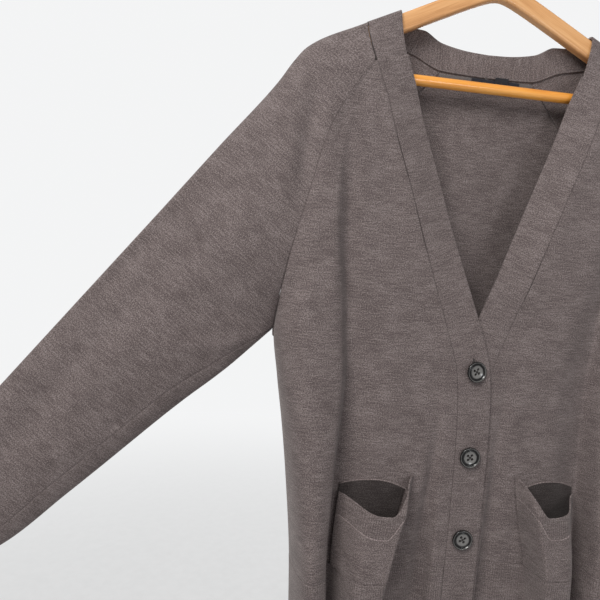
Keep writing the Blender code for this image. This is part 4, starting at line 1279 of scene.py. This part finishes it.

# %% [markdown]
# ## Buttons
# Each button is turned: a thin raised rim, a deep ring inside it, and a dished middle with four holes.
# The profile is spun round, the holes are bored by four rods, and dark thread crosses between them.
# The plastic is near black with a softer, greyer middle; part of that grey is painted reflection of the
# window, and a thin grey ring on the rim's crest is a painted highlight.

# %% Button finishes
BUTTON_DROPS = (480.0, 570.5, 660.0, 742.0)
BUTTON_OUTS = (0.0, 2.0, 3.0, 4.0)
BUTTON_TURNS = (18.0, 8.0, -14.0, 27.0)
BUTTON_LEANS = ((8.0, 2.0), (-3.0, -1.0), (-4.0, -2.0), (-1.0, 0.0))  # about the upright, then upwards
BUTTON_RADIUS = 11.0
HOLE_RADIUS = 1.45
HOLE_CIRCLE = 3.0
HOLES = [(HOLE_CIRCLE * math.cos(angle), HOLE_CIRCLE * math.sin(angle))
         for angle in (math.pi / 4 + corner * math.pi / 2 for corner in range(4))]
DRILL_LENGTH = 0.012
BUTTON_LIFT = 0.6


def button_finish_painted_highlights():
    """Plastic whose tone goes by distance from the button's middle, kept in its UV map, with painted
    reflection in its grey middle and a painted highlight ring on the rim's crest.
    """
    finish, tree, surface = blank_finish("button_plastic")
    flat = add(tree, "TexCoord").outputs["UV"]
    from_middle = add(tree, "SeparateXYZ", {0: flat}).outputs[1]
    where = add(tree, "TexCoord").outputs["Object"]
    marble = add(tree, "TexNoise", {"Vector": where, "Scale": 260.0, "Detail": 4.0}).outputs["Fac"]
    moved = calc(tree, "MULTIPLY_ADD", calc(tree, "SUBTRACT", marble, 0.5), 0.10, from_middle)
    # Grey middle: partly the plastic's own tone, partly painted reflection; grey ring at 0.90 on the rim's
    # crest: painted highlight.
    tone = ramp_of(tree, moved, (0.0, (0.20, 0.195, 0.19)), (0.55, (0.165, 0.16, 0.155)),
                   (0.66, (0.006, 0.006, 0.006)), (0.82, (0.006, 0.006, 0.006)), (0.90, (0.13, 0.125, 0.12)),
                   (0.95, (0.012, 0.011, 0.011)), (1.0, (0.008, 0.008, 0.008)))
    tree.links.new(tone, surface.inputs["Base Color"])
    rough = add(tree, "MapRange", {"Value": marble, "To Min": 0.13, "To Max": 0.24}).outputs["Result"]
    tree.links.new(rough, surface.inputs["Roughness"])
    surface.inputs["Coat Weight"].default_value = 0.2
    surface.inputs["Coat Roughness"].default_value = 0.12
    surface.inputs["Specular IOR Level"].default_value = 0.4
    return finish


def thread_finish():
    finish, tree, surface = blank_finish("button_thread")
    where = add(tree, "TexCoord").outputs["Object"]
    ply = add(tree, "TexWave", {"Vector": where, "Scale": 900.0, "Distortion": 2.0},
              bands_direction="DIAGONAL").outputs["Fac"]
    tree.links.new(ramp_of(tree, ply, (0.0, (0.012, 0.011, 0.011)), (1.0, (0.06, 0.052, 0.05))),
                   surface.inputs["Base Color"])
    bump = add(tree, "Bump", {"Height": ply, "Strength": 0.5, "Distance": 0.0001})
    tree.links.new(bump.outputs[0], surface.inputs["Normal"])
    surface.inputs["Roughness"].default_value = 0.7
    return finish


button_plastic = button_finish_painted_highlights()
thread = thread_finish()

# %% Button shape
BUTTON_PROFILE = (
    # radius as a share of the button's, height
    (0.0, 1.75), (0.18, 1.80), (0.36, 1.95), (0.52, 2.25), (0.62, 2.60), (0.665, 2.68), (0.70, 2.45),
    (0.735, 2.15), (0.78, 2.10), (0.82, 2.45), (0.855, 3.10), (0.89, 3.45), (0.93, 3.52), (0.965, 3.30),
    (0.99, 2.75), (1.0, 2.2), (1.0, 1.6), (0.97, 0.9), (0.84, 0.1), (0.6, 0.0), (0.0, 0.0),
)
SPIN_STEPS = 72


def button_at(number):
    drop = BUTTON_DROPS[number - 1]
    fore = column(BAND_SEAM, drop, 2) + DOUBLE_KNIT / 2 + STACK + BUTTON_LIFT
    return Vector(placed(RIGHT, np.array((BUTTON_OUTS[number - 1], fore, drop))))


def turned_button(name):
    """The profile spun about Z, with each point's share of the radius kept for the finish."""
    bm = bmesh.new()
    verts = [bm.verts.new((share * BUTTON_RADIUS * MM, 0.0, height * MM))
             for share, height in BUTTON_PROFILE]
    edges = [bm.edges.new(pair) for pair in zip(verts, verts[1:])]
    bmesh.ops.spin(bm, geom=verts + edges, cent=(0, 0, 0), axis=(0, 0, 1), angle=2 * math.pi,
                   steps=SPIN_STEPS, use_merge=True)
    bmesh.ops.remove_doubles(bm, verts=bm.verts, dist=WELD)
    bmesh.ops.recalc_face_normals(bm, faces=bm.faces)
    return mesh_from(bm, name)


def bored(mesh, name):
    """Cuts the four holes with a Boolean and gives back the finished mesh."""
    body = bpy.data.objects.new(name, mesh)
    bm = bmesh.new()
    for x, y in HOLES:
        rod = bmesh.ops.create_cone(bm, cap_ends=True, segments=20, radius1=HOLE_RADIUS * MM,
                                    radius2=HOLE_RADIUS * MM, depth=DRILL_LENGTH)["verts"]
        bmesh.ops.translate(bm, verts=rod, vec=(x * MM, y * MM, 0.0))
    drill = bpy.data.objects.new("drill", mesh_from(bm, "drill"))
    for made in (body, drill):
        bpy.context.scene.collection.objects.link(made)
    cut = body.modifiers.new("Holes", "BOOLEAN")
    cut.operation = "DIFFERENCE"
    cut.object = drill
    bpy.context.view_layer.update()
    done = bpy.data.meshes.new_from_object(body.evaluated_get(bpy.context.evaluated_depsgraph_get()))
    for made in (body, drill):
        bpy.data.objects.remove(made)
    return done


def tone_map(mesh):
    """UV whose V is each corner's share of the button's radius."""
    flat = mesh.uv_layers.new(name="flat")
    for loop in mesh.loops:
        spot = mesh.vertices[loop.vertex_index].co
        flat.data[loop.index].uv = (0.0, min(math.hypot(spot.x, spot.y) / (BUTTON_RADIUS * MM), 1.0))


STRAND_HEIGHT = 2.05
STRAND_DIVE = 1.9
STRAND_LEVEL = 0.72
STRAND_ASIDE = 0.22
STRAND_RADIUS = 0.26
SHANK_RADIUS = 1.7
SHANK_SPAN = (-1.2, 0.4)


def thread_strand(start, end):
    """One strand over the button's face, down a hole at each end."""
    along = np.linspace(0.0, 1.0, 13)[:, None]
    path = np.array(start) + (np.array(end) - np.array(start)) * along
    past = np.maximum(np.abs(along[:, 0] - 0.5) * 2 - STRAND_LEVEL, 0.0) / (1 - STRAND_LEVEL)
    path[:, 2] = STRAND_HEIGHT - STRAND_DIVE * past
    return path * MM


def make_button(number):
    name = "button_%d" % number
    mesh = bored(turned_button(name), name)
    tone_map(mesh)
    mesh.materials.clear()
    mesh.materials.append(button_plastic)
    mesh.shade_smooth()
    mesh.set_sharp_from_angle(angle=math.radians(50.0))
    sideways, upwards = [math.radians(lean) for lean in BUTTON_LEANS[number - 1]]
    turned = Matrix.Translation(button_at(number)) @ Matrix.Rotation(sideways, 4, "Z") \
        @ Matrix.Rotation(math.pi / 2 - upwards, 4, "X") \
        @ Matrix.Rotation(math.radians(BUTTON_TURNS[number - 1]), 4, "Z")
    mesh.transform(turned)
    show(name + "_turned", mesh, name, slot="button")
    strands = []
    for first, second, across in ((0, 2, -1), (1, 3, 1)):
        for shift in (-STRAND_ASIDE, STRAND_ASIDE):
            start, end = [(HOLES[hole][0] + shift, HOLES[hole][1] + shift * across, 0.0)
                          for hole in (first, second)]
            strands.append(tube_mesh("strand", thread_strand(start, end), STRAND_RADIUS * MM, thread))
    shank = points(0.0, 0.0, np.linspace(*SHANK_SPAN, 5)) * MM
    strands.append(tube_mesh("strand", shank, SHANK_RADIUS * MM, thread, 12))
    sewn = joined(name + "_thread", strands)
    sewn.transform(turned)
    show(name + "_thread", sewn, slot="button")


for number in range(1, len(BUTTON_DROPS) + 1):
    make_button(number)
print(len(BUTTON_DROPS), "buttons turned")

# %% [markdown]
# ## Buttonholes
# Each buttonhole is a short upright slit in the left band with an overcast edge. The button hides most
# of it; above the first button its upper end shows. It lies on the band as a dark lens of thread.

# %% Buttonholes
SLIT_HALF = 8.5
SLIT_WIDE = 1.1
SLIT_RISE = (5.2, 1.5, 1.0, 1.0)
SLIT_ASIDE = (-3.2, 0.0, 0.0, 0.0)
SLIT_LIFT = 0.1
SLIT_SUNK = 0.15
RIM_RADIUS = 0.42


def make_buttonhole(number):
    drop = BUTTON_DROPS[number - 1] - SLIT_RISE[number - 1]
    out = BUTTON_OUTS[number - 1] + SLIT_ASIDE[number - 1]
    fore = column(BAND_SEAM, drop, 2) + DOUBLE_KNIT / 2 + SLIT_LIFT
    turn = np.linspace(0, 2 * math.pi, 41)
    rim = points(out + SLIT_WIDE * np.sin(turn), fore, drop - SLIT_HALF * np.cos(turn))
    along = np.linspace(-1, 1, 21)
    lens = points(out, fore - SLIT_SUNK, drop + SLIT_HALF * along)
    wide = np.sqrt(np.maximum(1 - along ** 2, 0.0)) * SLIT_WIDE * MM
    meshes = [tube_mesh("rim", placed(RIGHT, rim), RIM_RADIUS * MM, thread),
              tube_mesh("slit", placed(RIGHT, lens), wide, thread, 10, flatten=0.3)]
    show("buttonhole_%d" % number, joined("buttonhole_%d" % number, meshes), slot="button")


for number in range(1, len(BUTTON_DROPS) + 1):
    make_buttonhole(number)

# %% [markdown]
# ## Neck tape and label
# A woven tape covers the neck seam at the back, with a blank label and its small tab sewn over it.

# %% Tape and label finishes
LABEL_THICK = 1.0


def woven_finish(name, dark, pale, pitch):
    """A close plain weave, warp over weft, on the piece's own map."""
    finish, tree, surface = blank_finish(name)
    flat = add(tree, "TexCoord").outputs["UV"]
    axes = add(tree, "SeparateXYZ", {0: flat})
    warp = calc(tree, "SINE", calc(tree, "MULTIPLY", axes.outputs[0], 2 * math.pi / pitch))
    weft = calc(tree, "SINE", calc(tree, "MULTIPLY", axes.outputs[1], 2 * math.pi / pitch))
    height = calc(tree, "MULTIPLY", warp, weft)
    fluff = add(tree, "TexNoise", {"Vector": flat, "Scale": 700.0, "Detail": 2.0}).outputs["Fac"]
    mixed = calc(tree, "MULTIPLY_ADD", height, 0.25, fluff)
    tree.links.new(ramp_of(tree, mixed, (0.2, dark), (0.85, pale)), surface.inputs["Base Color"])
    bump = add(tree, "Bump", {"Height": height, "Strength": 0.4, "Distance": 0.0002})
    tree.links.new(bump.outputs[0], surface.inputs["Normal"])
    surface.inputs["Roughness"].default_value = 0.75
    surface.inputs["Sheen Weight"].default_value = 0.1
    return finish


LABELS = (
    # name, from out, to out, top drop, foot drop, layer, finish, slot
    ("neck_tape", -52.0, 52.0, 173.6, 181.5, 0,
     woven_finish("tape_weave", (0.075, 0.065, 0.062), (0.17, 0.15, 0.145), 0.0012), "tape"),
    ("neck_label", -17.0, 37.0, 174.0, 185.5, 1,
     woven_finish("label_weave", (0.004, 0.004, 0.008), (0.016, 0.017, 0.03), 0.0008), "label"),
    ("size_tab", 9.0, 24.0, 171.0, 180.5, 2,
     woven_finish("tab_weave", (0.003, 0.003, 0.005), (0.012, 0.012, 0.02), 0.0008), "label"),
)


def lift_off(outs, drop, lift):
    """Points that lie `lift` in front of the back panel's inner face."""
    shares = [smooth(drop, LEVELS, row) for row in BACK_SHARES.values()]
    fores = [column(BACK_SIDE, drop, 2)] + [smooth(drop, LEVELS, row) for row in BACK_FORES.values()]
    fore = smooth(1 - np.abs(outs) / column(BACK_SIDE, drop, 1), shares, fores)
    return points(outs, fore + KNIT / 2 + lift, drop)


for name, low_out, high_out, top, foot, layer, finish, slot_name in LABELS:
    lift = STACK + LABEL_THICK / 2 + layer * (STACK + LABEL_THICK)
    outs = np.linspace(low_out, high_out, 60)
    spots = np.stack([lift_off(outs, drop, lift) for drop in np.linspace(top, foot, 14)])
    sew(name, RIGHT, spots, strip_layout(spots), LABEL_THICK, finish, slot_name, ["back_cloth"])

# %% [markdown]
# ## The hanger
# Two arms are sawn from a light board and meet in a rounded peak; a turned bar is set between their
# ends. The arms' outline is a flat curve given a thickness and rounded edges. The grain runs along
# each arm: its map follows the slope, and rings stretched far along it make the grain.

# %% Wood finishes
ARM_TOP = 72.5
ARM_SLOPE = 0.5
ARM_HEIGHT = 18.0
ARM_THICK = 12.0
ARM_REACH = 187.0
PEAK_ROUND = 14.0
EDGE_ROUND = 3.0
DEPTH_SHARE = 0.6  # how far the grain shifts from the wood's front to its back


def wood_finish(name, dark, mid, pale, roughness, coat):
    """Wood whose grain runs along the map's U direction."""
    finish, tree, surface = blank_finish(name)
    flat = add(tree, "TexCoord").outputs["UV"]
    drawn = add(tree, "Mapping", {"Vector": flat, "Scale": (9.0, 150.0, 150.0)}).outputs[0]
    along_grain = {"Vector": drawn, "Scale": 1.0, "Detail": 5.0, "Distortion": 0.8}
    grain = add(tree, "TexNoise", along_grain).outputs["Fac"]
    thin = add(tree, "Mapping", {"Vector": flat, "Scale": (40.0, 1500.0, 1500.0)}).outputs[0]
    pores = add(tree, "TexNoise", {"Vector": thin, "Scale": 1.0, "Detail": 3.0}).outputs["Fac"]
    mixed = calc(tree, "MULTIPLY_ADD", calc(tree, "SUBTRACT", pores, 0.5), 0.55, grain)
    tone = ramp_of(tree, mixed, (0.25, dark), (0.5, mid), (0.78, pale))
    tree.links.new(tone, surface.inputs["Base Color"])
    bump = add(tree, "Bump", {"Height": mixed, "Strength": 0.12, "Distance": 0.0003})
    tree.links.new(bump.outputs[0], surface.inputs["Normal"])
    surface.inputs["Roughness"].default_value = roughness
    surface.inputs["Coat Weight"].default_value = coat
    surface.inputs["Coat Roughness"].default_value = 0.18
    return finish


arm_wood = wood_finish("arm_wood", (0.52, 0.24, 0.085), (0.70, 0.36, 0.145), (0.80, 0.46, 0.21), 0.45, 0.25)
bar_wood = wood_finish("bar_wood", (0.68, 0.235, 0.03), (0.88, 0.36, 0.055), (0.95, 0.46, 0.10), 0.32, 0.6)


# %% Hanger arms
def arm_line(out):
    middle = ARM_TOP + ARM_HEIGHT / 2 * math.hypot(1, ARM_SLOPE)
    return middle + ARM_SLOPE * math.hypot(out, PEAK_ROUND)


def arm_outline():
    outs = np.linspace(-ARM_REACH, ARM_REACH, 97)
    line = [(out, arm_line(out)) for out in outs]
    half = ARM_HEIGHT / 2
    upper, lower = [], []
    for before, here, after in zip(line[:1] + line, line, line[1:] + line[-1:]):
        run = math.hypot(after[0] - before[0], after[1] - before[1])
        step = (-(after[1] - before[1]) / run * half, (after[0] - before[0]) / run * half)
        upper.append((here[0] - step[0], here[1] - step[1]))
        lower.append((here[0] + step[0], here[1] + step[1]))
    ends = []
    for end, sign in ((line[-1], 1), (line[0], -1)):
        start = (-math.pi / 2 if sign > 0 else math.pi / 2) + math.atan(ARM_SLOPE) * sign
        turned = [start + math.pi * i / 16 for i in range(1, 16)]
        ends.append([(end[0] + half * math.cos(a), end[1] + half * math.sin(a)) for a in turned])
    return upper + ends[0] + lower[::-1] + ends[1]


def mesh_of(curve):
    """A curve as a mesh with its caps welded on."""
    guide = bpy.data.objects.new("guide", curve)
    bpy.context.scene.collection.objects.link(guide)
    bpy.context.view_layer.update()
    mesh = bpy.data.meshes.new_from_object(guide.evaluated_get(bpy.context.evaluated_depsgraph_get()))
    bpy.data.objects.remove(guide)
    bm = bmesh.new()
    bm.from_mesh(mesh)
    bmesh.ops.remove_doubles(bm, verts=bm.verts, dist=WELD)
    bmesh.ops.recalc_face_normals(bm, faces=bm.faces)
    bm.to_mesh(mesh)
    bm.free()
    mesh.materials.clear()
    return mesh


def grain_map(mesh, slope):
    """Lays U along the wood's length, which falls away from the middle by `slope`."""
    length = math.hypot(1.0, slope)
    for old in list(mesh.uv_layers):
        mesh.uv_layers.remove(old)
    flat = mesh.uv_layers.new(name="flat")
    for loop in mesh.loops:
        x, y, z = mesh.vertices[loop.vertex_index].co
        side = 1 if x >= 0 else -1
        along = (abs(x) - z * slope) / length * side
        flat.data[loop.index].uv = (along, (z + abs(x) * slope) / length + y * DEPTH_SHARE)


def make_arms():
    curve = bpy.data.curves.new("arms_outline", "CURVE")
    curve.dimensions = "2D"
    curve.fill_mode = "BOTH"
    curve.extrude = (ARM_THICK / 2 - EDGE_ROUND) * MM
    curve.bevel_depth = EDGE_ROUND * MM
    curve.bevel_resolution = 4
    curve.offset = -EDGE_ROUND * MM
    outline = arm_outline()
    path = curve.splines.new("POLY")
    path.points.add(len(outline) - 1)
    for point, (out, drop) in zip(path.points, outline):
        point.co = (out * MM, -drop * MM, 0.0, 1.0)
    path.use_cyclic_u = True
    mesh = mesh_of(curve)
    mesh.transform(Matrix.Rotation(math.pi / 2, 4, "X"))
    grain_map(mesh, ARM_SLOPE)
    mesh.shade_smooth()
    mesh.set_sharp_from_angle(angle=math.radians(35.0))
    mesh.materials.append(arm_wood)
    show("hanger_arms_sawn", mesh, "hanger_arms", slot="wood")


make_arms()

# %% [markdown]
# ## Trouser bar and hook
# The bar is a turned rod with a thinner tenon at each end, and the hook a bent steel wire.

# %% Bar and hook
BAR_DROP = 186.5
BAR_RADIUS = 5.5
BAR_STATIONS = (110.0, 55.0, 0.0, -55.0, -110.0)
BAR_PROFILE = (
    # radius, distance from the middle
    (0.0, 184.0), (3.2, 184.0), (3.5, 183.5), (3.5, 168.6), (4.6, 168.3), (5.3, 167.6),
    (BAR_RADIUS, 166.0))
HOOK_WIRE = 1.8
HOOK_RADIUS = 21.0
STEM_DEPTH = 9.0
BEND_DEGREES = range(-68, 206, 4)


def make_bar():
    bm = bmesh.new()
    profile = [*BAR_PROFILE, *((BAR_RADIUS, along) for along in BAR_STATIONS)]
    profile += [(radius, -along) for radius, along in BAR_PROFILE[::-1]]
    verts = [bm.verts.new((along * MM, 0.0, radius * MM)) for radius, along in profile]
    edges = [bm.edges.new(pair) for pair in zip(verts, verts[1:])]
    bmesh.ops.spin(bm, geom=verts + edges, cent=(0, 0, 0), axis=(1, 0, 0), angle=2 * math.pi, steps=48,
                   use_merge=True)
    bmesh.ops.remove_doubles(bm, verts=bm.verts, dist=WELD)
    bmesh.ops.recalc_face_normals(bm, faces=bm.faces)
    mesh = mesh_from(bm, "hanger_bar_turned")
    grain_map(mesh, 0.0)
    mesh.transform(Matrix.Translation((0.0, 0.0, -BAR_DROP * MM)))
    mesh.shade_smooth()
    mesh.set_sharp_from_angle(angle=math.radians(50.0))
    mesh.materials.append(bar_wood)
    show("hanger_bar_turned", mesh, "hanger_bar", slot="bar_wood")


def metal_finish():
    finish, tree, surface = blank_finish("plated_wire")
    where = add(tree, "TexCoord").outputs["Object"]
    worn = add(tree, "TexNoise", {"Vector": where, "Scale": 320.0, "Detail": 4.0}).outputs["Fac"]
    tree.links.new(ramp_of(tree, worn, (0.3, (0.50, 0.50, 0.52)), (0.7, (0.68, 0.68, 0.70))),
                   surface.inputs["Base Color"])
    rough = add(tree, "MapRange", {"Value": worn, "To Min": 0.16, "To Max": 0.34}).outputs["Result"]
    tree.links.new(rough, surface.inputs["Roughness"])
    surface.inputs["Metallic"].default_value = 1.0
    return finish


def make_hook():
    centre_drop = HOOK_RADIUS - HOOK_WIRE
    lead = centre_drop + HOOK_RADIUS + 5.0
    bend = [(0.0, ARM_TOP + STEM_DEPTH - 1.0), (0.0, ARM_TOP - 12.0), (0.0, lead), (0.8, lead - 3.0),
            (3.2, lead - 5.3)]
    for degrees in BEND_DEGREES:
        angle = math.radians(degrees)
        bend.append((HOOK_RADIUS * math.cos(angle), centre_drop - HOOK_RADIUS * math.sin(angle)))
    curve = bpy.data.curves.new("hook_line", "CURVE")
    curve.dimensions = "3D"
    curve.bevel_depth = HOOK_WIRE * MM
    curve.bevel_resolution = 5
    curve.use_fill_caps = True
    path = curve.splines.new("POLY")
    path.points.add(len(bend) - 1)
    for point, (out, drop) in zip(path.points, bend):
        point.co = (out * MM, 0.0, -drop * MM, 1.0)
    mesh = mesh_of(curve)
    mesh.shade_smooth()
    mesh.set_sharp_from_angle(angle=math.radians(60.0))
    mesh.materials.append(metal_finish())
    show("hanger_hook_bent", mesh, "hanger_hook", slot="hook_metal")


make_bar()
make_hook()
